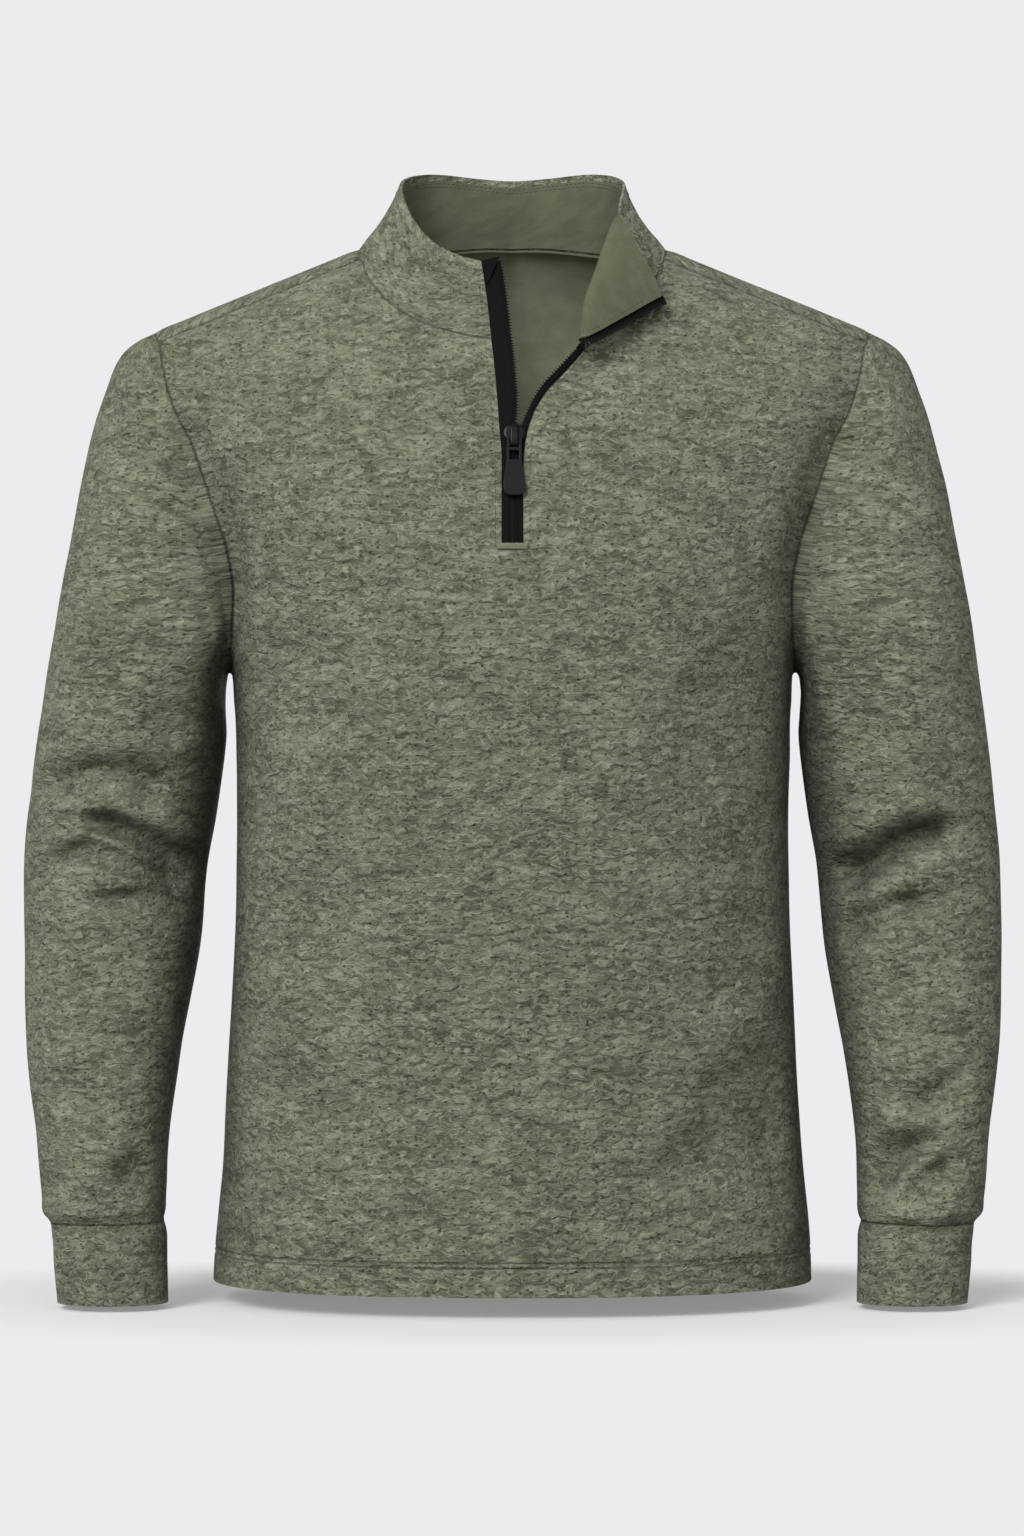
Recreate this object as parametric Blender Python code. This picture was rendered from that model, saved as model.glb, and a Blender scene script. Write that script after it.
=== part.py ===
"""Quarter zip sweater, size M, worn shape with no wearer, zip half open.

Metres, +Z up. The wearer faces -Y. The origin is midway between the two points
where the shoulders meet the neck. Left and right are the viewer's.

The cloth is one skin of shared points, cut into panels along its seams. Each
panel becomes a closed wall: outer points, inner points along the shared
normals, and a rim, drawn back a little from every seam.
"""

from collections import namedtuple
import math

import bpy
import numpy as np

# ------------------------------------------------------------ cloth and seams
BODY_CLOTH = 0.0020
HEM_CLOTH = 0.0036
CUFF_CLOTH = 0.0030
COLLAR_CLOTH = 0.0018
FACING_CLOTH = 0.0012
SEAM_GAP = 0.0003
FACING_STEP = 0.0015
HEM_DEPTH = 0.0205

# ------------------------------------------------------------------ body form
HEM_Z = -0.686
ARMPIT_Z = -0.283
SECTION_POWER = 2.3
RIDGE_AT_CENTRE = 0.0423
RIDGE_SLOPE = 0.408
SHOULDER_ROUND = 0.110
SEAM_DROP = 0.294
BACK_EDGE_DROP = -0.22

# half_width is that of the full oval; the armhole cuts it short above the armpit
TorsoRow = namedtuple("TorsoRow", "z half_width front back")
TORSO = (
    TorsoRow(-0.700, 0.1995, 0.1205, 0.1125),
    TorsoRow(-0.660, 0.1980, 0.1190, 0.1110),
    TorsoRow(-0.608, 0.1930, 0.1175, 0.1085),
    TorsoRow(-0.540, 0.1890, 0.1170, 0.1045),
    TorsoRow(-0.475, 0.1860, 0.1180, 0.1015),
    TorsoRow(-0.405, 0.1835, 0.1215, 0.1030),
    TorsoRow(-0.340, 0.1838, 0.1245, 0.1075),
    TorsoRow(-0.310, 0.1850, 0.1250, 0.1095),
    TorsoRow(-0.283, 0.1885, 0.1247, 0.1110),
    TorsoRow(-0.262, 0.1935, 0.1240, 0.1120),
    TorsoRow(-0.235, 0.2005, 0.1220, 0.1135),
    TorsoRow(-0.209, 0.2080, 0.1195, 0.1140),
    TorsoRow(-0.170, 0.2220, 0.1125, 0.1140),
    TorsoRow(-0.137, 0.2360, 0.1045, 0.1125),
    TorsoRow(-0.100, 0.2500, 0.0915, 0.1090),
    TorsoRow(-0.066, 0.2620, 0.0755, 0.1050),
    TorsoRow(-0.030, 0.2750, 0.0670, 0.1000),
    TorsoRow(0.000, 0.2850, 0.0620, 0.0960),
    TorsoRow(0.060, 0.3000, 0.0600, 0.0850),
)

# the seam round each armhole, from the armpit up to the shoulder seam
ArmholeRow = namedtuple("ArmholeRow", "z front_x back_x")
ARMHOLE = (
    ArmholeRow(-0.283, 0.1885, 0.1885),
    ArmholeRow(-0.270, 0.1862, 0.1868),
    ArmholeRow(-0.250, 0.1845, 0.1865),
    ArmholeRow(-0.209, 0.1890, 0.1930),
    ArmholeRow(-0.170, 0.2010, 0.2040),
    ArmholeRow(-0.137, 0.2120, 0.2150),
    ArmholeRow(-0.100, 0.2265, 0.2280),
    ArmholeRow(-0.0571, 0.2355, 0.2375),
)

# the back runs over the shoulder ridge; drop is negative behind it
ShoulderRow = namedtuple("ShoulderRow", "drop neck_x arm_x")
SHOULDER_STRIP = (
    ShoulderRow(BACK_EDGE_DROP, 0.0930, 0.2372),
    ShoulderRow(-0.05, 0.1008, 0.2385),
    ShoulderRow(0.12, 0.1030, 0.2382),
    ShoulderRow(SEAM_DROP, 0.1012, 0.2355),
)

NeckPoint = namedtuple("NeckPoint", "x z")
FRONT_NECK_CLOSED = (
    NeckPoint(0.0140, -0.0662),
    NeckPoint(0.0336, -0.0630),
    NeckPoint(0.0493, -0.0582),
    NeckPoint(0.0651, -0.0517),
    NeckPoint(0.0790, -0.0419),
    NeckPoint(0.0900, -0.0300),
    NeckPoint(0.0968, -0.0200),
)
FRONT_NECK_OPENED = (
    NeckPoint(0.0477, -0.0746),
    NeckPoint(0.0560, -0.0662),
    NeckPoint(0.0645, -0.0572),
    NeckPoint(0.0730, -0.0482),
    NeckPoint(0.0820, -0.0385),
    NeckPoint(0.0905, -0.0290),
    NeckPoint(0.0968, -0.0200),
)
BACK_NECK = (
    NeckPoint(0.0, 0.0074),
    NeckPoint(0.0200, 0.0068),
    NeckPoint(0.0400, 0.0046),
    NeckPoint(0.0600, 0.0018),
    NeckPoint(0.0780, 0.0001),
)

# the two edges of the slit; lift is how far the opened edge stands off the chest
SlitRow = namedtuple("SlitRow", "z closed_x opened_z opened_x lift")
SLIT_FOOT_Z = -0.2015
SLIT_HALF = 0.0071
SLIT = (
    SlitRow(SLIT_FOOT_Z, SLIT_HALF, SLIT_FOOT_Z, SLIT_HALF, 0.0),
    SlitRow(-0.182, 0.0071, -0.182, 0.0071, 0.0),
    SlitRow(-0.162, 0.0071, -0.162, 0.0071, 0.0),
    SlitRow(-0.144, 0.0071, -0.145, 0.0075, 0.0),
    SlitRow(-0.131, 0.0081, -0.131, 0.0094, 0.0),
    SlitRow(-0.117, 0.0092, -0.116, 0.0143, 0.0008),
    SlitRow(-0.104, 0.0102, -0.102, 0.0229, 0.0030),
    SlitRow(-0.091, 0.0113, -0.0926, 0.0318, 0.0058),
    SlitRow(-0.078, 0.0126, -0.0832, 0.0403, 0.0082),
    SlitRow(-0.0662, 0.0140, -0.0746, 0.0477, 0.0100),
)
LIFT_REACH = 0.050

# ------------------------------------------------------------------- collar
# share runs along half the neck seam, from the zip to the centre back
RimRow = namedtuple("RimRow", "share x y z")
RIM = (
    RimRow(0.00, 0.0206, -0.0620, -0.0143),
    RimRow(0.10, 0.0337, -0.0580, -0.0106),
    RimRow(0.20, 0.0465, -0.0515, -0.0042),
    RimRow(0.30, 0.0580, -0.0415, 0.0060),
    RimRow(0.40, 0.0683, -0.0270, 0.0215),
    RimRow(0.50, 0.0745, -0.0070, 0.0385),
    RimRow(0.57, 0.0752, 0.0070, 0.0455),
    RimRow(0.65, 0.0705, 0.0250, 0.0515),
    RimRow(0.75, 0.0595, 0.0420, 0.0555),
    RimRow(0.83, 0.0460, 0.0520, 0.0562),
    RimRow(0.91, 0.0260, 0.0600, 0.0535),
    RimRow(1.00, 0.0000, 0.0630, 0.0512),
    RimRow(1.09, -0.0260, 0.0600, 0.0535),
)
# where the right side turns over: the crest of the roll, and the turned-out rim
RollRow = namedtuple("RollRow", "share crest_x crest_y crest_z rim_x rim_y rim_z")
ROLL = (
    RollRow(0.00, 0.0464, -0.0925, -0.0685, 0.0976, -0.0640, -0.0373),
    RollRow(0.10, 0.0492, -0.0850, -0.0450, 0.0931, -0.0640, -0.0272),
    RollRow(0.20, 0.0560, -0.0740, -0.0250, 0.0868, -0.0610, -0.0143),
    RollRow(0.30, 0.0632, -0.0580, -0.0030, 0.0785, -0.0545, 0.0022),
    RollRow(0.38, 0.0690, -0.0395, 0.0135, 0.0735, -0.0400, 0.0165),
)
ROLL_ENDS = 0.46
ROLL_SIDE = np.array([0.30, -0.95, 0.0])
ROLL_HANDLE = 0.0048
CREST_SHARE = 0.82
COLLAR_HOLLOW = 0.0045
STAND_STEPS = (0.0, 0.22, 0.44, 0.66, 0.84, 0.94, 1.0)
TURN_STEPS = (0.10, 0.24, 0.48, 0.74, 1.0)

# ------------------------------------------------------------------- sleeves
# each ring is an oval through its outer and its inner point
SleeveRow = namedtuple("SleeveRow", "outer_x outer_z inner_x inner_z depth mid_y")
SLEEVE = (
    SleeveRow(0.2385, -0.0572, 0.1885, -0.2830, 0.0575, 0.000),
    SleeveRow(0.2570, -0.0700, 0.1918, -0.2875, 0.0610, 0.000),
    SleeveRow(0.2720, -0.1000, 0.1930, -0.2940, 0.0640, 0.002),
    SleeveRow(0.2860, -0.1470, 0.1930, -0.3020, 0.0670, 0.003),
    SleeveRow(0.2970, -0.2000, 0.1925, -0.3120, 0.0685, 0.004),
    SleeveRow(0.3090, -0.2670, 0.1922, -0.3260, 0.0690, 0.006),
    SleeveRow(0.3175, -0.3270, 0.1948, -0.3490, 0.0670, 0.008),
    SleeveRow(0.3249, -0.4012, 0.2042, -0.4092, 0.0635, 0.008),
    SleeveRow(0.3250, -0.4680, 0.2090, -0.4680, 0.0580, 0.000),
    SleeveRow(0.3225, -0.5331, 0.2210, -0.5331, 0.0530, -0.014),
    SleeveRow(0.3148, -0.5915, 0.2277, -0.5915, 0.0470, -0.030),
    SleeveRow(0.3108, -0.6275, 0.2279, -0.6255, 0.0420, -0.040),
    SleeveRow(0.3090, -0.6385, 0.2280, -0.6375, 0.0375, -0.043),
    SleeveRow(0.3042, -0.6445, 0.2285, -0.6435, 0.0325, -0.045),
)
CUFF = (
    SleeveRow(0.3042, -0.6445, 0.2285, -0.6435, 0.0325, -0.045),
    SleeveRow(0.3028, -0.6500, 0.2276, -0.6490, 0.0310, -0.046),
    SleeveRow(0.3012, -0.6720, 0.2268, -0.6720, 0.0300, -0.047),
    SleeveRow(0.2988, -0.6965, 0.2262, -0.6965, 0.0295, -0.048),
)
SLEEVE_POWER = 2.2
CAP_REACH = 0.30
# ring spacing: a row says how far along the sleeve it starts and how many rings
RingRun = namedtuple("RingRun", "start rings")
RING_RUNS = (
    RingRun(0.0, 3),
    RingRun(0.055, 9),
    RingRun(0.44, 8),
    RingRun(0.62, 8),
    RingRun(0.965, 2),
)

# --------------------------------------------------------------------- folds
# seen from the front: a line, its half width and its height, negative is a trough
Fold = namedtuple("Fold", "zone side x1 z1 x2 z2 width height")
FOLDS = (
    Fold("sleeve_left", -1, -0.2860, -0.3680, -0.2570, -0.3755, 0.010, -0.0045),
    Fold("sleeve_left", -1, -0.2570, -0.3755, -0.2020, -0.3970, 0.010, -0.0050),
    Fold("sleeve_left", -1, -0.3100, -0.4035, -0.2890, -0.3915, 0.009, -0.0050),
    Fold("sleeve_left", -1, -0.2890, -0.3915, -0.2270, -0.4070, 0.009, -0.0055),
    Fold("sleeve_left", -1, -0.2760, -0.4240, -0.2310, -0.4190, 0.009, -0.0035),
    Fold("sleeve_left", -1, -0.3060, -0.3465, -0.2600, -0.3430, 0.013, -0.0030),
    Fold("sleeve_left", -1, -0.2960, -0.3825, -0.2460, -0.3870, 0.009, 0.0035),
    Fold("sleeve_left", -1, -0.3050, -0.6060, -0.2860, -0.6060, 0.012, -0.0030),
    Fold("sleeve_right", -1, 0.2495, -0.3930, 0.2790, -0.3790, 0.009, -0.0050),
    Fold("sleeve_right", -1, 0.2790, -0.3790, 0.3010, -0.3790, 0.009, -0.0050),
    Fold("sleeve_right", -1, 0.2090, -0.4100, 0.2310, -0.3720, 0.010, 0.0035),
    Fold("sleeve_right", -1, 0.2370, -0.4340, 0.2790, -0.4280, 0.009, -0.0045),
    Fold("sleeve_right", -1, 0.2240, -0.4190, 0.2940, -0.3890, 0.009, 0.0035),
    Fold("sleeve_right", -1, 0.2310, -0.6080, 0.2830, -0.5830, 0.010, -0.0038),
    Fold("sleeve_right", -1, 0.2520, -0.6200, 0.2930, -0.5960, 0.009, -0.0032),
    Fold("sleeve_right", -1, 0.2640, -0.5640, 0.2940, -0.5400, 0.011, -0.0032),
    Fold("sleeve_left", 1, -0.2080, -0.3950, -0.2790, -0.3770, 0.011, -0.0045),
    Fold("sleeve_left", 1, -0.2120, -0.4210, -0.2720, -0.4080, 0.010, -0.0035),
    Fold("sleeve_left", 1, -0.2350, -0.5980, -0.2850, -0.5800, 0.011, -0.0032),
    Fold("sleeve_right", 1, 0.2080, -0.4010, 0.2750, -0.3850, 0.011, -0.0045),
    Fold("sleeve_right", 1, 0.2150, -0.4300, 0.2820, -0.4150, 0.010, -0.0035),
    Fold("sleeve_right", 1, 0.2400, -0.6050, 0.2900, -0.5900, 0.010, -0.0030),
    Fold("body", -1, 0.0720, -0.5550, 0.1800, -0.5300, 0.020, -0.0036),
    Fold("body", -1, 0.1070, -0.6130, 0.1830, -0.5790, 0.018, -0.0036),
    Fold("body", -1, 0.0950, -0.5800, 0.1820, -0.5520, 0.016, 0.0022),
    Fold("body", -1, -0.1150, -0.3960, -0.1400, -0.4430, 0.020, -0.0030),
    Fold("body", -1, -0.1400, -0.2450, -0.1150, -0.3300, 0.022, -0.0022),
    Fold("body", 1, -0.1600, -0.3700, -0.0500, -0.4300, 0.022, -0.0035),
    Fold("body", 1, 0.1600, -0.3800, 0.0600, -0.4450, 0.022, -0.0035),
    Fold("body", 1, -0.1300, -0.5200, -0.0700, -0.5650, 0.020, -0.0025),
)

# ------------------------------------------------------------- mesh fineness
MERGE_CELL = 0.00002
NEAR_CELLS = tuple((a, b, c) for a in (0, -1, 1) for b in (0, -1, 1) for c in (0, -1, 1))
SLIT_ROWS = len(SLIT) - 1
CHEST_ROWS = 3
SKIRT_ROWS = 12
DIAGONAL_TIE = 1.02
HEM_TAPER = 0.0015
ARMPIT_SAG = 0.012
NECK_COLUMNS = 7
SHOULDER_COLUMNS = 7
BACK_NECK_COLUMNS = 5

# ----------------------------------------------------------------------- zip
TAPE_DEEP = 0.0015
TAPE_SUNK = 0.0005
BEAD_WIDE = 0.0011
BEAD_PROUD = 0.0005
BEAD_DEEP = 0.0020
# how far each tape stands out of its edge, at heights on the front slit
TapeRow = namedtuple("TapeRow", "z left right")
TAPE = (
    TapeRow(SLIT_FOOT_Z, 0.00690, 0.00690),
    TapeRow(-0.1440, 0.00690, 0.00730),
    TapeRow(-0.1310, 0.00860, 0.00500),
    TapeRow(-0.1170, 0.01180, 0.00430),
    TapeRow(-0.1040, 0.01290, 0.00480),
    TapeRow(-0.0662, 0.01300, 0.00500),
)
COLLAR_TAPE_LEFT = 0.0128
COLLAR_TAPE_RIGHT = 0.0050
WELT_WIDE = 0.0202
WELT_TALL = 0.0043
WELT_PROUD = 0.0012

# ------------------------------------------------------ slider and pull tab
SLIDER_X = 0.0012
PIN_Z = -0.1337
PLATE_LOW = 0.0009
PLATE_HIGH = 0.0023
BACK_PLATE = (-0.0040, -0.0026)
POST = (0.0012, 0.0028, 0.0062, 0.0090)
PIN_HIGH = 0.0036
BRIDGE_HALF = 0.0023
PLATE_OUTLINE = (
    (-4.0, -7.0), (4.0, -7.0), (4.4, -1.0), (7.0, 1.5), (7.0, 6.0),
    (4.5, 9.4), (-4.5, 9.4), (-7.0, 6.0), (-7.0, 1.5), (-4.4, -1.0),
)
BRIDGE_OUTLINE = (
    (9.3, 1.6), (9.0, 4.4), (6.6, 6.2), (-4.2, 6.2), (-6.4, 4.6), (-6.5, 1.6),
    (-4.6, 1.6), (-4.4, 4.0), (-3.4, 4.8), (5.6, 4.8), (7.0, 3.6), (7.2, 1.6),
)
TAB_OUTLINE = (
    (-4.9, 0.9), (-4.9, -16.0), (-5.5, -20.0), (-6.4, -25.5), (-7.0, -31.0),
    (-7.0, -35.0), (-6.0, -37.8), (-3.4, -39.2), (3.4, -39.2), (6.0, -37.8),
    (7.0, -35.0), (7.0, -31.0), (6.4, -25.5), (5.5, -20.0), (4.9, -16.0),
    (4.9, 0.9),
)
TAB_HALF_THICK = 0.0008
TAB_WINDOWS = ((-7.0, -0.9), (-15.4, -9.2))
TAB_WINDOW_HALF = 3.0
TAB_LEAN = math.radians(3.6)
MM = 0.001

# -------------------------------------------------------------------- colours
HEATHER = (0.185, 0.205, 0.135)
INSIDE = (0.130, 0.145, 0.090)
BLACK = (0.012, 0.012, 0.013)
NODE_LOOKS = {
    "front": ("knit_heather", HEATHER),
    "back": ("knit_heather", HEATHER),
    "sleeve_left": ("knit_heather", HEATHER),
    "sleeve_right": ("knit_heather", HEATHER),
    "cuff_left": ("knit_heather", HEATHER),
    "cuff_right": ("knit_heather", HEATHER),
    "collar": ("knit_heather", HEATHER),
    "collar_facing": ("smooth_facing", INSIDE),
    "zip_end_welt": ("smooth_facing", INSIDE),
    "zip_tape_left": ("zip_tape", BLACK),
    "zip_tape_right": ("zip_tape", BLACK),
    "zip_slider": ("zip_metal", BLACK),
    "zip_pull": ("zip_metal", BLACK),
}


def unit(vectors):
    """Vectors of length one, along the last axis."""
    size = np.linalg.norm(vectors, axis=-1, keepdims=True)
    return vectors / np.maximum(size, 1e-12)


def smooth(keys, values, at):
    """A smooth curve through values at rising keys, held level past its ends."""
    keys = np.asarray(keys, float)
    values = np.asarray(values, float)
    at = np.clip(np.asarray(at, float), keys[0], keys[-1])
    slope = np.gradient(values, keys, axis=0)
    cell = np.clip(np.searchsorted(keys, at, side="right") - 1, 0, len(keys) - 2)
    width = keys[cell + 1] - keys[cell]
    part = (at - keys[cell]) / width
    if values.ndim > 1:
        width = width[..., None]
        part = part[..., None]
    rise = values[cell + 1] - values[cell]
    bend_in = width * slope[cell] - rise
    bend_out = rise - width * slope[cell + 1]
    blend = (1 - part) * bend_in + part * bend_out
    return values[cell] + part * rise + part * (1 - part) * blend


def column(rows, name):
    """One named column of a table, as an array."""
    return np.array([getattr(row, name) for row in rows])


def length_along(path):
    """Length along a path up to each of its points."""
    steps = np.linalg.norm(np.diff(path, axis=0), axis=1)
    return np.concatenate([[0.0], np.cumsum(steps)])


def evenly_along(path, count):
    """Count points at equal steps along a path, both ends kept."""
    path = np.asarray(path, float)
    run = length_along(path)
    return smooth(run, path, np.linspace(0.0, run[-1], count))


# ------------------------------------------------------------------ body form
def ridge(x):
    """Height of the shoulder ridge at a distance from the centre."""
    return RIDGE_AT_CENTRE - RIDGE_SLOPE * np.abs(x)


def half_width(z):
    return smooth(column(TORSO, "z"), column(TORSO, "half_width"), z)


def share_of_width(x, z):
    """Angle share 0..1 round the oval section at height z, for a distance x."""
    ratio = np.clip(np.abs(x) / half_width(z), 0.0, 1.0)
    return np.arcsin(ratio ** (SECTION_POWER / 2)) * 2 / math.pi


def drop_of(x, z, side):
    """Drop coordinate of a height: its square times the round is the fall."""
    fall = np.maximum(ridge(x) - z, 0.0)
    return side * np.sqrt(fall / SHOULDER_ROUND)


def skin(share, drop):
    """Body surface for an angle share and a drop, positive in front."""
    share, drop = np.broadcast_arrays(np.asarray(share, float), np.asarray(drop, float))
    across = np.sin(share * math.pi / 2) ** (2 / SECTION_POWER)
    deep = np.cos(np.minimum(share, 1.0) * math.pi / 2) ** (2 / SECTION_POWER)
    x = 0.2 * across
    for _ in range(12):
        z = ridge(x) - SHOULDER_ROUND * drop**2
        x = half_width(z) * across
    near = np.minimum(np.abs(drop), 1.0)
    rounding = near * np.sqrt(2 - near**2)
    heights = column(TORSO, "z")
    front = smooth(heights, column(TORSO, "front"), z)
    back = smooth(heights, column(TORSO, "back"), z)
    y = np.where(drop > 0, -front, back) * deep * rounding
    return np.stack([x, y, z], axis=-1)


def on_body(x, z, side):
    """Body surface point at a front-view place, side 1 in front and -1 behind."""
    return skin(share_of_width(x, z), drop_of(x, z, side))


def coons(bottom, top, start, end):
    """Grid [row, column, 2] filled in between four boundary curves."""
    rows = np.linspace(0, 1, len(start))[:, None, None]
    cols = np.linspace(0, 1, len(bottom))[None, :, None]
    across = (1 - cols) * start[:, None] + cols * end[:, None]
    upward = (1 - rows) * bottom[None] + rows * top[None]
    corners = (1 - rows) * ((1 - cols) * bottom[0] + cols * bottom[-1])
    corners = corners + rows * ((1 - cols) * top[0] + cols * top[-1])
    return across + upward - corners


def skirt_heights(top_z):
    """Heights of the rows from the hem edge over its stitched fold to top_z."""
    fold = HEM_Z + HEM_DEPTH
    skirt = np.linspace(fold + HEM_TAPER, top_z, SKIRT_ROWS + 1)
    return np.concatenate([[HEM_Z, fold], skirt])


def centre_heights(slit_z):
    """Heights of the rows at the slit or at the centre back."""
    skirt = skirt_heights(ARMPIT_Z - ARMPIT_SAG)
    chest = np.linspace(skirt[-1], slit_z[0], CHEST_ROWS + 1)
    return np.concatenate([skirt, chest[1:], slit_z[1:]])


def surface_pairs(xs, zs, side):
    """Angle share and drop of front-view places."""
    return np.stack([share_of_width(xs, zs), drop_of(xs, zs, side)], axis=-1)


def hem_curve(start_x, count, side):
    """Equal steps round half the hem, from start_x to the side seam."""
    shares = np.linspace(share_of_width(start_x, HEM_Z), 1.0, 200)
    drops = np.full(200, 2.4)
    for _ in range(6):
        drops = drop_of(skin(shares, drops)[:, 0], HEM_Z, 1)
    run = length_along(skin(shares, drops))
    at = np.interp(np.linspace(0, run[-1], count), run, shares)
    return np.stack([at, side * np.interp(at, shares, drops)], axis=-1)


def side_curve(top_z, side):
    """Side seam, then equal steps up the armhole, of one panel half."""
    skirt_z = skirt_heights(ARMPIT_Z)
    seam = surface_pairs(half_width(skirt_z), skirt_z, side)
    name = "front_x" if side > 0 else "back_x"
    zs = ARMPIT_Z + (top_z - ARMPIT_Z) * np.linspace(0, 1, 300) ** 2
    xs = smooth(column(ARMHOLE, "z"), column(ARMHOLE, name), zs)
    pairs = surface_pairs(xs, zs, side)
    run = length_along(skin(pairs[:, 0], pairs[:, 1]))
    steps = np.linspace(0, run[-1], CHEST_ROWS + SLIT_ROWS + 1)[1:]
    armhole = np.stack([np.interp(steps, run, pairs[:, k]) for k in (0, 1)], axis=-1)
    return np.concatenate([seam, armhole])


def shoulder_shares():
    return np.linspace(0.0, 1.0, SHOULDER_COLUMNS + 1)


def strip_row(row):
    """Points across one shoulder, from neck to armhole, at one drop."""
    xs = row.neck_x + (row.arm_x - row.neck_x) * shoulder_shares()
    zs = ridge(xs) - SHOULDER_ROUND * row.drop**2
    pairs = np.stack([share_of_width(xs, zs), np.full(len(xs), row.drop)], axis=-1)
    return pairs


def front_half(opened):
    """Grid of one front half, from hem to shoulder and from slit to side."""
    slit_z = column(SLIT, "opened_z" if opened else "z")
    slit_x = column(SLIT, "opened_x" if opened else "closed_x")
    centre_z = centre_heights(slit_z)
    below = len(centre_z) - len(slit_z)
    centre_x = np.concatenate([np.full(below, SLIT_HALF), slit_x])
    start = surface_pairs(centre_x, centre_z, 1)
    seam = strip_row(SHOULDER_STRIP[-1])
    corner = skin(seam[0, 0], seam[0, 1])
    neck = FRONT_NECK_OPENED if opened else FRONT_NECK_CLOSED
    neck_path = [(p.x, p.z) for p in neck] + [(corner[0], corner[2])]
    neck_path = evenly_along(neck_path, NECK_COLUMNS + 1)
    neck_pairs = surface_pairs(neck_path[:, 0], neck_path[:, 1], 1)
    neck_pairs[-1] = seam[0]
    top = np.concatenate([neck_pairs, seam[1:]])
    arm_top = skin(seam[-1, 0], seam[-1, 1])
    end = side_curve(arm_top[2], 1)
    end[-1] = seam[-1]
    bottom = hem_curve(SLIT_HALF, len(top), 1)
    start[0], end[0] = bottom[0], bottom[-1]
    start[-1] = top[0]
    grid = coons(bottom, top, start, end)
    points = skin(grid[..., 0], grid[..., 1])
    if opened:
        points[..., 1] -= lift_off(points, centre_z)
    return points


def lift_off(points, centre_z):
    """How far the opened half stands off the chest, fading from the slit."""
    lifts = np.concatenate([np.zeros(len(centre_z) - len(SLIT)), column(SLIT, "lift")])
    away = np.linalg.norm(points[:, :, ::2] - points[:, :1, ::2], axis=-1)
    fade = np.clip(1 - away / LIFT_REACH, 0.0, 1.0)
    return lifts[:, None] * fade**2 * (3 - 2 * fade)


def back_half():
    """Grid of one back half, up to the line behind the shoulder ridge."""
    slit_z = np.linspace(-0.205, BACK_NECK[0].z, SLIT_ROWS + 1)
    centre_z = centre_heights(slit_z)
    start = surface_pairs(np.zeros(len(centre_z)), centre_z, -1)
    edge = strip_row(SHOULDER_STRIP[0])
    corner = skin(edge[0, 0], edge[0, 1])
    neck_path = [(p.x, p.z) for p in BACK_NECK] + [(corner[0], corner[2])]
    neck_path = evenly_along(neck_path, BACK_NECK_COLUMNS + 1)
    neck_pairs = surface_pairs(neck_path[:, 0], neck_path[:, 1], -1)
    neck_pairs[-1] = edge[0]
    top = np.concatenate([neck_pairs, edge[1:]])
    arm_top = skin(edge[-1, 0], edge[-1, 1])
    end = side_curve(arm_top[2], -1)
    end[-1] = edge[-1]
    bottom = hem_curve(0.0, len(top), -1)
    start[0], end[0] = bottom[0], bottom[-1]
    start[-1] = top[0]
    grid = coons(bottom, top, start, end)
    return skin(grid[..., 0], grid[..., 1])


def shoulder_strip():
    """The back's grid over the shoulder ridge down to the forward seam."""
    rows = [strip_row(row) for row in SHOULDER_STRIP]
    return np.stack([skin(row[:, 0], row[:, 1]) for row in rows])


def mirrored(points):
    return points * np.array([-1.0, 1.0, 1.0])


# ------------------------------------------------------------------- sleeves
def ring_places():
    """How far along the sleeve each ring lies, 0 at the armhole, 1 at the cuff."""
    starts = [run.start for run in RING_RUNS] + [1.0]
    places = [0.0]
    for run, stop in zip(RING_RUNS, starts[1:]):
        places.extend(np.linspace(run.start, stop, run.rings + 1)[1:])
    return np.array(places)


def oval_rings(rows, places, angles):
    """Rings [ring, point, 3] of ovals through a table of outer and inner points."""
    table = np.array(rows)
    middle = (table[:, 0:2] + table[:, 2:4]) / 2
    outer_run = length_along(table[:, 0:2])
    middle_run = length_along(middle)
    run = outer_run / outer_run[-1] * 0.5 + middle_run / middle_run[-1] * 0.5
    at = smooth(run, table, places)
    outer_x, outer_z, inner_x, inner_z, depth, mid_y = at.T
    centre = np.stack([(outer_x + inner_x) / 2, mid_y, (outer_z + inner_z) / 2], axis=-1)
    reach = np.stack([(outer_x - inner_x) / 2, 0 * depth, (outer_z - inner_z) / 2], axis=-1)
    cosine = np.cos(angles)
    sine = np.sin(angles)
    power = 2 / SLEEVE_POWER
    along = np.sign(cosine) * np.abs(cosine) ** power
    aside = np.sign(sine) * np.abs(sine) ** power
    rings = centre[:, None] + reach[:, None] * along[None, :, None]
    rings[..., 1] += depth[:, None] * aside[None]
    return rings


def loop_angles(loop, row):
    """Angle of each armhole point in the first sleeve oval."""
    outer = np.array([row.outer_x, row.mid_y, row.outer_z])
    inner = np.array([row.inner_x, row.mid_y, row.inner_z])
    centre = (outer + inner) / 2
    reach = (outer - inner) / 2
    away = loop - centre
    along = away @ reach / (reach @ reach)
    aside = away[:, 1] / row.depth
    power = SLEEVE_POWER / 2
    cosine = np.sign(along) * np.abs(along) ** power
    sine = np.sign(aside) * np.abs(aside) ** power
    return np.unwrap(np.arctan2(sine, cosine))


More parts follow.
